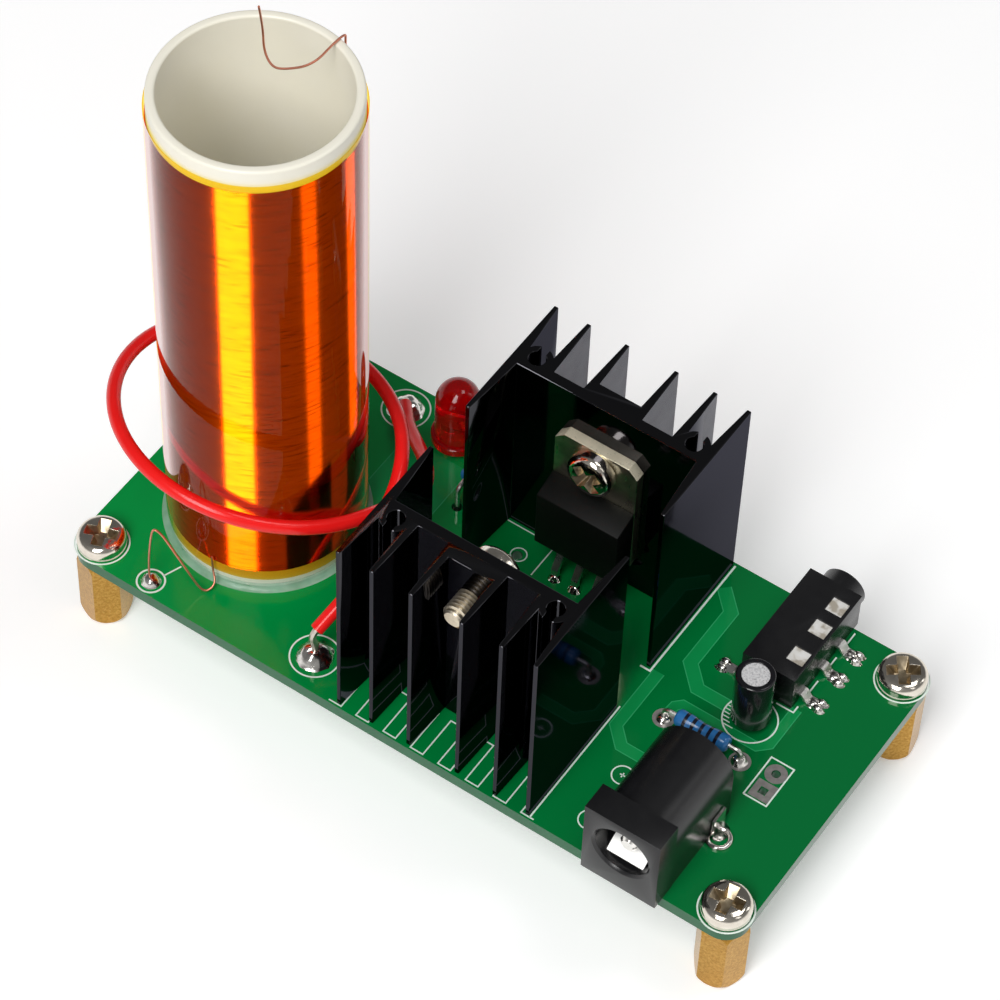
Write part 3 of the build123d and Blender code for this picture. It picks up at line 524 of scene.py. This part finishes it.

# -------------------------------------------------- board screws
# Nickel-plated pan heads: a rim, a crown and a wide cross recess, made once and set four times. The
# recess is a darker nickel, a painted shade.
nickel = Finish("nickel_plate", Metallic=1.0)
nickel.feed("Base Color", nickel.mix(nickel.mottle(1.1 * mm), (0.62, 0.56, 0.47), (0.90, 0.85, 0.76)))
nickel.feed("Roughness", 0.06 + 0.14 * nickel.mottle(0.5 * mm))
nickel.bump(nickel.mottle(0.6 * mm), 0.03 * mm, 0.5)
# The recess faces get a darker, browner nickel than the head: painted shade inside the cross recess.
recess = Finish("nickel_recess_painted_shade", Metallic=1.0)
recess.feed("Base Color", recess.mix(recess.mottle(0.8 * mm), (0.26, 0.20, 0.12), (0.60, 0.50, 0.35)))
recess.feed("Roughness", 0.22 + 0.2 * recess.mottle(0.4 * mm))
dull = Finish("dull_nickel", Metallic=1.0)
dull.feed("Base Color", dull.mix(dull.mottle(0.5 * mm), (0.58, 0.50, 0.37), (0.86, 0.78, 0.62)))
dull.feed("Roughness", 0.28 + 0.2 * dull.mottle(0.4 * mm))


def cross_cutter(span, width, depth, crown):
    """The driver's cross that makes the recess: two tapered blades, standing a little too high."""
    proud = 0.2 * mm
    foot_span, foot_width = 0.42, 0.6
    blades = []
    for turn in (0, 90):
        bpy.ops.mesh.primitive_cube_add(size=1, location=(0, 0, crown - depth / 2 + proud / 2))
        blade = bpy.context.object
        blade.scale = (span, width, depth + proud)
        bpy.ops.object.transform_apply(location=True, scale=True)
        for vertex in blade.data.vertices:
            if vertex.co.z < crown - depth / 2:
                vertex.co.x *= foot_span
                vertex.co.y *= foot_width
        blade.data.transform(placed(0, 0, 0, turn))
        blade.data.materials.append(nickel.material)
        blade.data.materials.append(recess.material)
        for face in blade.data.polygons:
            face.material_index = 1
        blades.append(blade)
    combine(blades[0], blades[1], "UNION")
    return blades[0]


def round_edges(piece, width, segments, sharp=40, material=-1):
    """Round the edges that turn by more than so many degrees."""
    edge = piece.modifiers.new("edge", "BEVEL")
    edge.width = width
    edge.segments = segments
    edge.limit_method = "ANGLE"
    edge.angle_limit = math.radians(sharp)
    edge.material = material
    apply_all(piece)


def pan_head():
    """One crowned head standing on z = 0."""
    rings = [(2.62, 0), (2.72, 0.1), (2.74, 0.95), (2.70, 1.2), (2.58, 1.45), (2.38, 1.64), (2.15, 1.76),
             (1.7, 1.85), (0.9, 1.92), (0, 1.94)]
    head = turned("head", [(radius * mm, height * mm) for radius, height in rings], steps=64)
    head.data.materials.append(nickel.material)
    head.data.materials.append(recess.material)
    cross = cross_cutter(span=4.1 * mm, width=1.35 * mm, depth=1.25 * mm, crown=1.9 * mm)
    combine(head, cross, "DIFFERENCE")
    round_edges(head, 0.12 * mm, 2)
    bpy.ops.object.shade_smooth_by_angle(angle=math.radians(40))
    return head


master_head = pan_head()
shank_radius = 1.2 * mm
screw_turns = (20, 62, 8, 35)
heads = []
for turn, (x, y) in zip(screw_turns, screw_places):
    heads.append(copy_of(master_head, placed(x * mm, y * mm, top, turn)))
    shank = turned("shank", [(shank_radius, screw_low.z), (shank_radius, top)], 24)
    shank.data.transform(placed(x * mm, y * mm, 0))
    shank.data.materials.append(nickel.material)
    heads.append(shank)
screws = join("pan_head_screws", heads)
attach(screws, "root")
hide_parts("board_screws")

# -------------------------------------------------- coil former
# A cut length of white plastic tube, a little cream with age and rounded at its two rims.
cream = Finish("cream_plastic", Roughness=0.35)
cream.feed("Base Color", cream.mix(cream.mottle(6 * mm), (0.88, 0.84, 0.70), (0.91, 0.88, 0.78)))
former_radius = (coil_high.x - coil_low.x) / 2
former_wall = 1.0 * mm


def tube(name, outer, inner, low, high, steps=128, rim_radius=0.0):
    """An open tube about the coil's axis."""
    middle = (coil_centre.x, coil_centre.y, low)
    bpy.ops.mesh.primitive_circle_add(vertices=steps, radius=outer, fill_type="NOTHING", location=middle)
    body = bpy.context.object
    bpy.ops.object.transform_apply(location=True)
    bpy.ops.object.mode_set(mode="EDIT")
    bpy.ops.mesh.select_all(action="SELECT")
    bpy.ops.mesh.extrude_region_move(TRANSFORM_OT_translate={"value": (0, 0, high - low)})
    bpy.ops.mesh.extrude_region_move()
    bpy.ops.transform.resize(value=(inner / outer, inner / outer, 1), center_override=middle)
    bpy.ops.mesh.extrude_region_move(TRANSFORM_OT_translate={"value": (0, 0, low - high)})
    bpy.ops.mesh.extrude_region_move()
    bpy.ops.transform.resize(value=(outer / inner, outer / inner, 1), center_override=middle)
    bpy.ops.mesh.select_all(action="SELECT")
    bpy.ops.mesh.remove_doubles(threshold=0.001 * mm)
    bpy.ops.mesh.normals_make_consistent(inside=False)
    bpy.ops.object.mode_set(mode="OBJECT")
    if rim_radius:
        round_edges(body, rim_radius, 4)
    bpy.ops.object.shade_smooth_by_angle(angle=math.radians(40))
    body.name = name
    return body


former = tube("former_tube", former_radius, former_radius - former_wall, coil_low.z, coil_high.z,
              rim_radius=0.3 * mm)
former.data.materials.append(cream.material)
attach(former, "root")
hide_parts("coil_former")

# -------------------------------------------------- secondary winding
# One layer of fine enamelled wire, wound turn against turn. Three hundred ridges stand for its
# turns. Their flanks catch the lamps as bright stripes.
winding_low, winding_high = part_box("secondary_winding")
winding_radius = (winding_high.x - winding_low.x) / 2
turns = 300
pitch = (winding_high.z - winding_low.z) / (turns + 1)
ridge = 0.5 * pitch * 1.15
weld = 0.002 * mm


def wind(line, pitch, turns, steps):
    """Wind a line about the Z axis into a spiral skin."""
    spiral = line.modifiers.new("spiral", "SCREW")
    spiral.screw_offset = pitch
    spiral.iterations = turns
    spiral.steps = spiral.render_steps = steps
    spiral.use_merge_vertices = True
    spiral.merge_threshold = weld
    apply_all(line)


winding = line_object("wound_wire", [(winding_radius - ridge, 0, 0), (winding_radius, 0, pitch / 2),
                                     (winding_radius - ridge, 0, pitch)])
wind(winding, pitch, turns, 90)
winding.data.transform(placed(coil_centre.x, coil_centre.y, winding_low.z))
bpy.ops.object.mode_set(mode="EDIT")
bpy.ops.mesh.select_all(action="SELECT")
bpy.ops.mesh.remove_doubles(threshold=weld)
bpy.ops.mesh.normals_make_consistent(inside=False)
bpy.ops.object.mode_set(mode="OBJECT")
bpy.ops.object.shade_smooth_by_angle(angle=math.radians(25))
enamel = Finish("enamelled_copper", Metallic=1.0)
streak = enamel.mottle(0.14 * mm, 3.0, (0.05, 0.05, 1))
enamel.feed("Base Color", enamel.ramp(streak, (0.28, (0.50, 0.055, 0.006)), (0.42, (0.88, 0.12, 0.014)),
                                      (0.6, (0.95, 0.15, 0.018))))
enamel.feed("Roughness", 0.07 + 0.08 * enamel.mottle(0.5 * mm, 2.0, (0.1, 0.1, 1)))
winding.data.materials.append(enamel.material)
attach(winding, "root")
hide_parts("secondary_winding")

# -------------------------------------------------- amber tape
# Clear amber film wrapped over the winding and stuck to the tube past both its ends. It is
# darker below a slanting edge, where it lies double. Its gloss grows towards the coil's sides.
tape_low, tape_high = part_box("winding_tape")
tape_radius = (tape_high.x - tape_low.x) / 2
film = Finish("amber_film")
clear = film.node("ShaderNodeBsdfTransparent", None, (0.99, 0.80, 0.16))
double = film.node("ShaderNodeBsdfTransparent", None, (0.92, 0.62, 0.11))
gloss = film.node("ShaderNodeBsdfGlossy", None, (1, 1, 1), 0.04)
lap_height, lap_slope = 38 * mm, 0.35
lap_edge = lap_height + lap_slope * (film.place("X") + film.place("Y"))
tint = film.node("ShaderNodeMixShader", None, film.place("Z") < lap_edge, clear, double)
outward = 1 - film.node("ShaderNodeNewGeometry", out="Backfacing")
fresnel = film.node("ShaderNodeFresnel", None, 1.33)
gain, strongest = 7, 0.7
mirrored = film.math("MINIMUM", gain * fresnel * fresnel, strongest)
film.surface(film.node("ShaderNodeMixShader", None, mirrored * outward, tint, gloss))
inside = Finish("film_inside")
inside.surface(inside.node("ShaderNodeBsdfTransparent", None, (1, 1, 1)))
wrap = tube("film_wrap", tape_radius, winding_radius + 0.02 * mm, tape_low.z, tape_high.z)
wrap.data.materials.append(film.material)
wrap.data.materials.append(inside.material)
for face in wrap.data.polygons:
    away = face.center - Vector((coil_centre.x, coil_centre.y, face.center.z))
    if face.normal.dot(away) < 0:
        face.material_index = 1
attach(wrap, "root")
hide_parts("winding_tape")

# -------------------------------------------------- glue bead
# A thin fillet of clear glue holds the tube's foot to the board.
glue = Finish("clear_glue", Roughness=0.15, IOR=1.45)
glue.feed("Base Color", glue.mix(glue.mottle(1.5 * mm), (0.30, 0.58, 0.42), (0.60, 0.76, 0.64)))
glue.feed("Alpha", 0.25 + 0.5 * glue.mottle(2.5 * mm))
fillet = [(0.78, 0.012), (0.62, 0.08), (0.36, 0.2), (0.16, 0.42), (0.03, 0.75)]
bead = turned("glue_bead", [(former_radius + out * mm, height * mm) for out, height in fillet], 96)


def remove_ends(body):
    """Take the round end faces out of a turned body, so that it is an open skin."""
    bpy.ops.object.mode_set(mode="EDIT")
    bpy.ops.mesh.select_all(action="DESELECT")
    bpy.ops.object.mode_set(mode="OBJECT")
    for face in body.data.polygons:
        face.select = len(face.vertices) > 4
    bpy.ops.object.mode_set(mode="EDIT")
    bpy.ops.mesh.delete(type="FACE")
    bpy.ops.object.mode_set(mode="OBJECT")


remove_ends(bead)
bead.data.transform(placed(coil_centre.x, coil_centre.y, top))
bead.data.materials.append(glue.material)
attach(bead, "root")

# -------------------------------------------------- fine leads
# The winding's two ends: one rises out of the tube's mouth, the other is soldered to its pad.
bare = Finish("fine_copper", Metallic=0.9, Roughness=0.3)
bare.feed("Base Color", bare.mix(bare.mottle(1.0 * mm), (0.50, 0.17, 0.10), (0.80, 0.32, 0.22)))
fine_radius = 0.12 * mm


def wire(name, points, radius, resolution=8, sides=4):
    """A round wire along a smooth curve with these control points, in metres."""
    data = bpy.data.curves.new(name, "CURVE")
    data.dimensions = "3D"
    spline = data.splines.new("NURBS")
    spline.points.add(len(points) - 1)
    for control, point in zip(spline.points, points):
        control.co = (*point, 1)
    spline.order_u = 3
    spline.use_endpoint_u = True
    data.resolution_u = resolution
    data.bevel_depth = radius
    data.bevel_resolution = sides
    data.use_fill_caps = True
    wire_object = bpy.data.objects.new(name, data)
    bpy.context.collection.objects.link(wire_object)
    select_only(wire_object)
    bpy.ops.object.convert(target="MESH")
    bpy.ops.object.shade_smooth_by_angle(angle=math.radians(40))
    return bpy.context.object


def about_coil(angle, radius, height):
    """A point about the coil's axis: degrees, and millimetres out and above the board."""
    turn = math.radians(angle)
    return Vector((coil_centre.x + radius * mm * math.cos(turn),
                   coil_centre.y + radius * mm * math.sin(turn), top + height * mm))


film_radius = tape_radius / mm
skin = film_radius + 0.2
rim_height = (coil_high.z - top) / mm
reach = former_radius / mm
breakout = wire("breakout_copper", [
    about_coil(75, skin, 60.5), about_coil(75, skin, rim_height - 0.3),
    about_coil(75, skin, rim_height + 0.3), about_coil(74, reach - 1.0, rim_height + 0.25),
    about_coil(64, 0.58 * reach, rim_height + 0.2), about_coil(80, 0.32 * reach, rim_height + 0.2),
    about_coil(96, 0.27 * reach, rim_height + 0.7), about_coil(113, 0.33 * reach, rim_height + 1.9),
    about_coil(113, 0.33 * reach, rim_height + 5.0),
    about_coil(113, 0.33 * reach, rim_height + 10.15) + Vector((1.1, -2.0, 0)) * mm,
], fine_radius)
breakout.data.materials.append(bare.material)
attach(breakout, "root")
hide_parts("breakout_wire")

over_pad = Vector((ground_pad[0] * mm, ground_pad[1] * mm, top))
stations = [(6.2, 3.3, 0.9), (5.9, 2.3, 0.3), (5.2, 1.9, 0.5), (4.0, 1.5, 3.0), (1.9, 0.6, 8.2),
            (1.3, 0.4, 9.2), (0.7, 0.2, 9.6), (0.3, 0.2, 8.4), (-0.2, 0.2, 4.2), (-0.3, 0.1, 1.0),
            (0.0, 0.0, 0.3), (0.0, 0.0, -1.0)]
ground = wire("ground_copper", [
    about_coil(-85.5, skin, 4.0), about_coil(-85.5, skin, 1.9),
    *[over_pad + Vector(station) * mm for station in stations],
], fine_radius)
ground.data.materials.append(bare.material)
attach(ground, "root")
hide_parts("ground_lead")

# -------------------------------------------------- primary wire
# One and a third turns of soft plastic-covered wire, looped loosely round the coil's foot.
insulation = Finish("red_insulation", Roughness=0.2, IOR=1.4)
insulation.feed("Base Color", insulation.mix(insulation.mottle(3 * mm), (0.80, 0.008, 0.008),
                                             (0.92, 0.016, 0.014)))
insulation.bump(insulation.mottle(0.8 * mm), 0.02 * mm, 0.4)
wire_radius = 0.775
gap_first, gap_last = 5.2, 3.0
first_angle, highest_angle = -10.0, -112.0
mean_height, slant = 16.3, 4.8


def turn_point(step):
    """The loop's centre line after so many quarter turns: round, on a slant, drawn slowly in."""
    angle = first_angle - 90 * step
    radius = film_radius + gap_first + (gap_last - gap_first) * step / 3 + wire_radius
    return about_coil(angle, radius, mean_height + slant * math.cos(math.radians(angle - highest_angle)))


over_back = Vector((back_pad[0] * mm, back_pad[1] * mm, top))
over_front = Vector((front_pad[0] * mm, front_pad[1] * mm, top))
back_end = over_back + Vector((0.45, -0.9, 2.1)) * mm
back_way = Vector((0.62, -0.74, 0.26)).normalized()
front_end = over_front + Vector((0.1, 0.25, 4.6)) * mm
front_way = Vector((-0.25, -0.78, -0.57)).normalized()
climb = about_coil(36, film_radius + 5.8 + wire_radius, 6.6)
round_tube = [turn_point(step / 6) for step in range(21)]
loop = wire("primary_loop", [
    back_end, back_end + back_way * 1.5 * mm, back_end + back_way * 4.0 * mm, climb,
    about_coil(14, film_radius + 6.0 + wire_radius, 10.6), *round_tube,
    about_coil(38, 14.5, 12.0), about_coil(24, 14.7, 11.8), about_coil(10, 15.0, 11.2),
    about_coil(-4, 15.3, 10.2), front_end - front_way * 6.5 * mm, front_end - front_way * 3.0 * mm,
    front_end - front_way * 1.0 * mm, front_end,
], wire_radius * mm, resolution=10, sides=8)
loop.data.materials.append(insulation.material)
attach(loop, "root")
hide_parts("primary_wire")

tinned = Finish("tinned_core", (0.62, 0.56, 0.50), Metallic=1.0)
tinned.feed("Roughness", 0.2 + 0.25 * tinned.mottle(0.5 * mm))
dress("primary_core_ends", tinned)


# -------------------------------------------------- heat sinks
# Two lengths of one black anodised extrusion. Their upright corners are a plain lighter grey, a painted
# highlight along them, and their cut edges are worn in specks.
def softened(node, name, width, segments=2, edge_material=-1):
    """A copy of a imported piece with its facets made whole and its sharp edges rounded."""
    select_only(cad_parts[node])
    bpy.ops.object.duplicate(linked=False)
    piece = bpy.context.object
    piece.name = name
    piece.data.name = name
    piece.data.materials.clear()
    for key in list(piece.keys()):
        del piece[key]
    bpy.ops.object.mode_set(mode="EDIT")
    bpy.ops.mesh.select_all(action="SELECT")
    bpy.ops.mesh.remove_doubles(threshold=weld)
    bpy.ops.mesh.dissolve_limited(angle_limit=math.radians(0.5))
    bpy.ops.mesh.normals_make_consistent(inside=False)
    bpy.ops.object.mode_set(mode="OBJECT")
    round_edges(piece, width, segments, 35, edge_material)
    bpy.ops.object.shade_smooth_by_angle(angle=math.radians(35))
    return piece


anodised = Finish("black_anodised", (0.05, 0.05, 0.055), Metallic=1.0, Specular_Tint=(0.45, 0.45, 0.48))
anodised.feed("Roughness", 0.04 + 0.06 * anodised.mottle(2.5 * mm))
anodised.bump(anodised.mottle(0.7 * mm, 2.0, (0.2, 0.2, 1)), 0.006 * mm, 0.2)
worn_and_highlit = Finish("worn_and_highlit_edge", Metallic=1.0, Roughness=0.3)
lying = abs(worn_and_highlit.facing_up()) > 0.3
specks = worn_and_highlit.ramp(worn_and_highlit.mottle(0.5 * mm, 4.0), (0.55, (0.02, 0.02, 0.022)), (0.68, (0.45, 0.45, 0.47)))
# Upright bevels get a plain lighter grey, a painted highlight along the fins' corners; lying bevels are worn
# in specks.
worn_and_highlit.feed("Base Color", worn_and_highlit.mix(lying, (0.30, 0.30, 0.32), specks))
for place in ("front", "back"):
    sink = softened("heat_sink_" + place, place + "_finned_sink", 0.06 * mm, 1, edge_material=1)
    sink.data.materials.append(anodised.material)
    sink.data.materials.append(worn_and_highlit.material)
    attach(sink, "root")
    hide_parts("heat_sink_" + place)
steel = Finish("tinned_steel", (0.70, 0.69, 0.66), Metallic=1.0)
steel.feed("Roughness", 0.2 + 0.2 * steel.mottle(0.8 * mm))
dress("heat_sink_pins", steel)

# -------------------------------------------------- transistors
# Black moulded cases with a dull tinned copper tab behind, and three flat legs each.
epoxy = Finish("black_epoxy", Roughness=0.5, IOR=1.25)
epoxy.feed("Base Color", epoxy.mix(epoxy.mottle(0.6 * mm), (0.0015, 0.0018, 0.0015), (0.004, 0.0045, 0.004)))
epoxy.bump(epoxy.mottle(0.12 * mm), 0.01 * mm, 0.4)
tab_metal = Finish("dull_tinned_tab")
# Faces that look up are far less metallic, so they show the lamps' light as a pale top edge: a painted
# highlight, over the bright metal of the sheared edge.
tab_metal.feed("Metallic", 1 - 0.75 * (tab_metal.facing_up() > 0.5))
clouds = tab_metal.mottle(1.5 * mm)
tab_metal.feed("Base Color", tab_metal.mix(clouds, (0.46, 0.43, 0.32), (0.78, 0.72, 0.55)))
tab_metal.feed("Roughness", 0.2 + 0.2 * tab_metal.mottle(0.5 * mm, 2.0, (1, 1, 0.15)))
for place in ("front", "back"):
    case = softened("transistor_case_" + place, place + "_moulded_case", 0.12 * mm)
    case.data.materials.append(epoxy.material)
    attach(case, "root")
    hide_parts("transistor_case_" + place)
    tab = softened("transistor_tab_" + place, place + "_metal_tab", 0.06 * mm)
    tab.data.materials.append(tab_metal.material)
    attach(tab, "root")
    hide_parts("transistor_tab_" + place)
    dress("transistor_legs_" + place, steel)

# -------------------------------------------------- transistor screws
# The same pan heads, with a threaded shank that comes out of the heat sink among its fins.
hole_below_edge = 2.8 * mm
tab_screw_length = 7.0 * mm
root, crest, thread_pitch, thread_turns = 1.15 * mm, 1.42 * mm, 0.5 * mm, 13
thread_profile = [(root, 0, 0), (root, 0, 0.1 * mm), (crest, 0, 0.25 * mm), (crest, 0, 0.31 * mm),
                  (root, 0, 0.46 * mm), (root, 0, thread_pitch)]
core_profile = [(0.95 * mm, -tab_screw_length), (1.16 * mm, -6.8 * mm), (1.16 * mm, 0)]
tab_screws = []
for place, way in (("front", -1), ("back", 1)):
    tab_low, tab_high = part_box("transistor_tab_" + place)
    seat_y = tab_high.y if place == "front" else tab_low.y
    middle = Vector(((tab_low.x + tab_high.x) / 2, seat_y, tab_high.z - hole_below_edge))
    lie = Matrix.Translation(middle) @ Matrix.Rotation(math.radians(90 * way), 4, "X")
    thread = line_object("thread", thread_profile)
    wind(thread, thread_pitch, thread_turns, 32)
    bpy.ops.object.shade_smooth_by_angle(angle=math.radians(30))
    thread.data.transform(lie @ placed(0, 0, -tab_screw_length))
    core = turned("core", core_profile, 32)
    core.data.transform(lie)
    for shank in (thread, core):
        shank.data.materials.append(dull.material)
    tab_screws += [copy_of(master_head, lie @ placed(0, 0, 0, 40)), thread, core]
tab_screws = join("tab_screws", tab_screws)
bpy.data.objects.remove(master_head)
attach(tab_screws, "root")
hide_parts("transistor_screws")

# -------------------------------------------------- power socket
# A black moulded block and barrel, with a bright sleeve spring and a plated centre pin.
plastic = Finish("black_plastic", Roughness=0.27, IOR=1.5)
clouds = plastic.mottle(1.5 * mm)
plastic.feed("Base Color", plastic.mix(clouds, (0.005, 0.005, 0.006), (0.011, 0.011, 0.012)))
plastic.bump(plastic.mottle(0.15 * mm), 0.01 * mm, 0.35)
power_block = softened("power_socket_housing", "power_block", 0.12 * mm, 3)
power_block.data.materials.append(plastic.material)
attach(power_block, "root")
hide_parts("power_socket_housing")
bright = Finish("bright_nickel", (0.86, 0.84, 0.80), Metallic=1.0)
bright.feed("Roughness", 0.1 + 0.15 * bright.mottle(1.0 * mm))
dress("power_socket_pin", bright)
dress("power_socket_contacts", bright)
silver = Finish("silvered_spring", Metallic=0.35, Roughness=0.45)
silver.feed("Base Color", silver.mix(silver.mottle(2 * mm), (0.88, 0.87, 0.84), (0.97, 0.97, 0.95)))
spring_left, spring_width, spring_thickness = 27.1 * mm, 4.4 * mm, 0.18 * mm
spring_profile = [(-20.4, 3.75), (-19.9, 4.1), (-19.2, 4.55), (-18.6, 4.85), (-18.0, 4.95),
                  (-17.2, 4.8), (-16.0, 4.2), (-14.5, 3.4)]
spring_line = [(spring_left, y * mm, top + height * mm) for y, height in spring_profile]
spring = strip("sleeve_spring", spring_line, (spring_width, 0, 0), spring_thickness)
bpy.ops.object.shade_smooth_by_angle(angle=math.radians(30))
spring.data.materials.append(silver.material)
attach(spring, "root")

# -------------------------------------------------- audio socket
# A black box with a short nose. Sprung plates show in three windows, and flat legs splay out.
audio_block = softened("audio_socket_housing", "audio_block", 0.1 * mm, 3)
audio_block.data.materials.append(plastic.material)
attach(audio_block, "root")
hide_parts("audio_socket_housing")
plates = Finish("silvered_plates", Metallic=0.35, Roughness=0.45)
plates.feed("Base Color", plates.ramp(plates.mottle(1.3 * mm), (0.38, (0.50, 0.45, 0.37)),
                                      (0.50, (0.88, 0.86, 0.81)), (0.7, (0.97, 0.97, 0.95))))
dress("audio_socket_contacts", plates)
dress("audio_socket_legs", steel)

# -------------------------------------------------- lamp
# A red tinted epoxy lens with a flange at its foot, over two leads that end in a post and a cup.
lens_low, lens_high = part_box("lamp_lens")
lens_radius = 2.5 * mm
flange_radius, flange_height = 2.9 * mm, 1.0 * mm
lens_x = -16.75 * mm
dome_angles = [math.radians(9 * step) for step in range(9)]
dome = [(lens_radius * math.cos(angle), lens_high.z - lens_radius + lens_radius * math.sin(angle))
        for angle in dome_angles]
lens = turned("red_lens", [
    (flange_radius * 0.97, lens_low.z), (flange_radius, lens_low.z + 0.1 * mm),
    (flange_radius, lens_low.z + flange_height - 0.1 * mm),
    (flange_radius * 0.96, lens_low.z + flange_height),
    (lens_radius * 1.01, lens_low.z + flange_height + 0.05 * mm), *dome, (0, lens_high.z),
], 64)
lens.data.transform(placed(lens_x, (lens_low.y + lens_high.y) / 2, 0))
red = Finish("red_epoxy", Roughness=0.05, IOR=1.4, Transmission_Weight=0.7)
red.feed("Base Color", red.mix(red.mottle(2 * mm), (0.62, 0.001, 0.002), (0.80, 0.003, 0.005)))
lens.data.materials.append(red.material)
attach(lens, "root")
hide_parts("lamp_lens")
dress("lamp_leads", steel)

# -------------------------------------------------- capacitor
# An aluminium can in a glossy black sleeve that is shrunk over its rim, on a rubber bung.
sleeve = Finish("black_sleeve", (0.006, 0.006, 0.008), Roughness=0.14, IOR=1.5)
sleeve.bump(sleeve.mottle(1.0 * mm), 0.02 * mm, 0.4)
jacket = softened("capacitor_jacket", "shrunk_sleeve", 0.1 * mm, 2)
jacket.data.materials.append(sleeve.material)
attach(jacket, "root")
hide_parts("capacitor_jacket")
can = Finish("brushed_aluminium", Metallic=0.4, Roughness=0.4)
can.feed("Base Color", can.ramp(can.mottle(0.25 * mm, 4.0), (0.3, (0.45, 0.45, 0.46)),
                                (0.5, (0.80, 0.80, 0.81)), (0.7, (0.95, 0.95, 0.95))))
dress("capacitor_can", can)
rubber = Finish("black_rubber", (0.02, 0.02, 0.02), Roughness=0.7)
rubber.bump(rubber.mottle(0.2 * mm), 0.02 * mm, 0.5)
dress("capacitor_bung", rubber)
dress("capacitor_wires", steel)

# -------------------------------------------------- resistors
# Blue lacquered bodies, fatter at their caps, with five dark value bands each. The middle of the
# gap before the bands, their pitch and their gap are shares of the body's length.
first_gap, half_pitch, half_gap, slimmer = 0.12, 0.075, 0.045, 0.84
for name, axis in (("front_resistor", "X"), ("rear_resistor", "Y")):
    low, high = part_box(name)
    index = "XYZ".index(axis)
    body = Finish(name + "_lacquer", Roughness=0.2, IOR=1.5)
    along = (body.place(axis) - low[index]) * (1 / (high[index] - low[index]))
    from_gap = body.math("PINGPONG", along - first_gap, half_pitch)
    banded = (from_gap > half_gap) * (along > 0.14) * (along < 0.9)
    body.feed("Base Color", body.mix(banded, (0.025, 0.16, 0.42), (0.006, 0.008, 0.02)))
    resistor = softened(name, name + "_body", 0.12 * mm)
    slim = Matrix.Diagonal([1.0 if letter == axis else slimmer for letter in "XYZ"] + [1.0])
    middle = Matrix.Translation((low + high) / 2)
    resistor.data.transform(middle @ slim @ middle.inverted())
    resistor.data.materials.append(body.material)
    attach(resistor, "root")
    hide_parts(name)
    dress(name + "_wires", steel)

# -------------------------------------------------- solder
# Bright domes on the wires' pads, smaller joints where leads enter the board, and cones round
# every lead under it.
solder = Finish("bright_solder", Metallic=1.0)
solder.feed("Base Color", solder.mix(solder.mottle(0.8 * mm), (0.60, 0.57, 0.53), (0.88, 0.86, 0.82)))
solder.feed("Roughness", 0.06 + 0.2 * solder.mottle(0.5 * mm))
solder.bump(solder.mottle(0.5 * mm), 0.05 * mm, 0.5)


def mound(x, y, radius, height, stretch=1.0):
    """A cooled drop of solder: a dome with a hollow skirt, a little uneven."""
    rings = [(1, 0), (0.96, 0.06), (0.85, 0.22), (0.74, 0.48), (0.6, 0.72), (0.42, 0.89), (0.2, 0.98),
             (0, 1)]
    drop = turned("drop", [(radius * out * mm, height * up * mm) for out, up in rings], 28)
    lump, swelling, rising = 0.7 * mm, 0.12, 0.18
    for vertex in drop.data.vertices:
        wave = noise.noise(Vector((vertex.co.x + x * mm, vertex.co.y + y * mm, vertex.co.z)) / lump)
        vertex.co.x *= stretch * (1 + swelling * wave)
        vertex.co.y *= 1 + swelling * wave
        if vertex.co.z > 0:
            vertex.co.z *= 1 + rising * wave
    drop.data.transform(placed(x * mm, y * mm, top))
    return drop


drops = [mound(*back_pad, 2.1, 1.35), mound(*front_pad, 2.1, 1.35), mound(*ground_pad, 1.15, 0.8)]
domes = join("solder_domes", drops)
bpy.ops.object.shade_smooth()
domes.data.materials.append(solder.material)
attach(domes, "root")
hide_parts("top_solder")
transistors_x, transistor_row, leg_pitch = 5.05, 7.07, 2.54
joints = [mound(transistors_x + across * leg_pitch, side * transistor_row, 0.8, 0.75)
          for across in (-1, 0, 1) for side in (-1, 1)]
joints += [mound(21.9, -1.4, 0.85, 0.5), mound(31.2, -1.4, 0.95, 0.8)]
right_legs = [(34.45, y) for y in (9.3, 13.4, 16.8)]
left_leg = (23.4, 7.95)
joints += [mound(x, y + side * 0.45, 0.5, 0.55, stretch=1.7)
           for x, y in (*right_legs, left_leg) for side in (-1, 1)]
joints += [mound(x - 0.75, y, 0.75, 0.42, stretch=1.2) for x, y in right_legs]
power_terminal = (34.65 * mm, -10.7 * mm, top + 0.1 * mm)
bpy.ops.mesh.primitive_torus_add(major_radius=1.2 * mm, minor_radius=0.3 * mm, major_segments=40,
                                 minor_segments=14, location=power_terminal)
ring_joint = bpy.context.object
bpy.ops.object.transform_apply(location=True)
for vertex in ring_joint.data.vertices:
    wave = noise.noise(vertex.co / (1.1 * mm))
    vertex.co.z = top + (vertex.co.z - top) * (1.1 + 0.6 * wave)
joints = join("solder_joints", [*joints, ring_joint])
bpy.ops.object.shade_smooth()
joints.data.materials.append(solder.material)
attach(joints, "root")
dress("underside_solder", solder)

low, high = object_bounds()
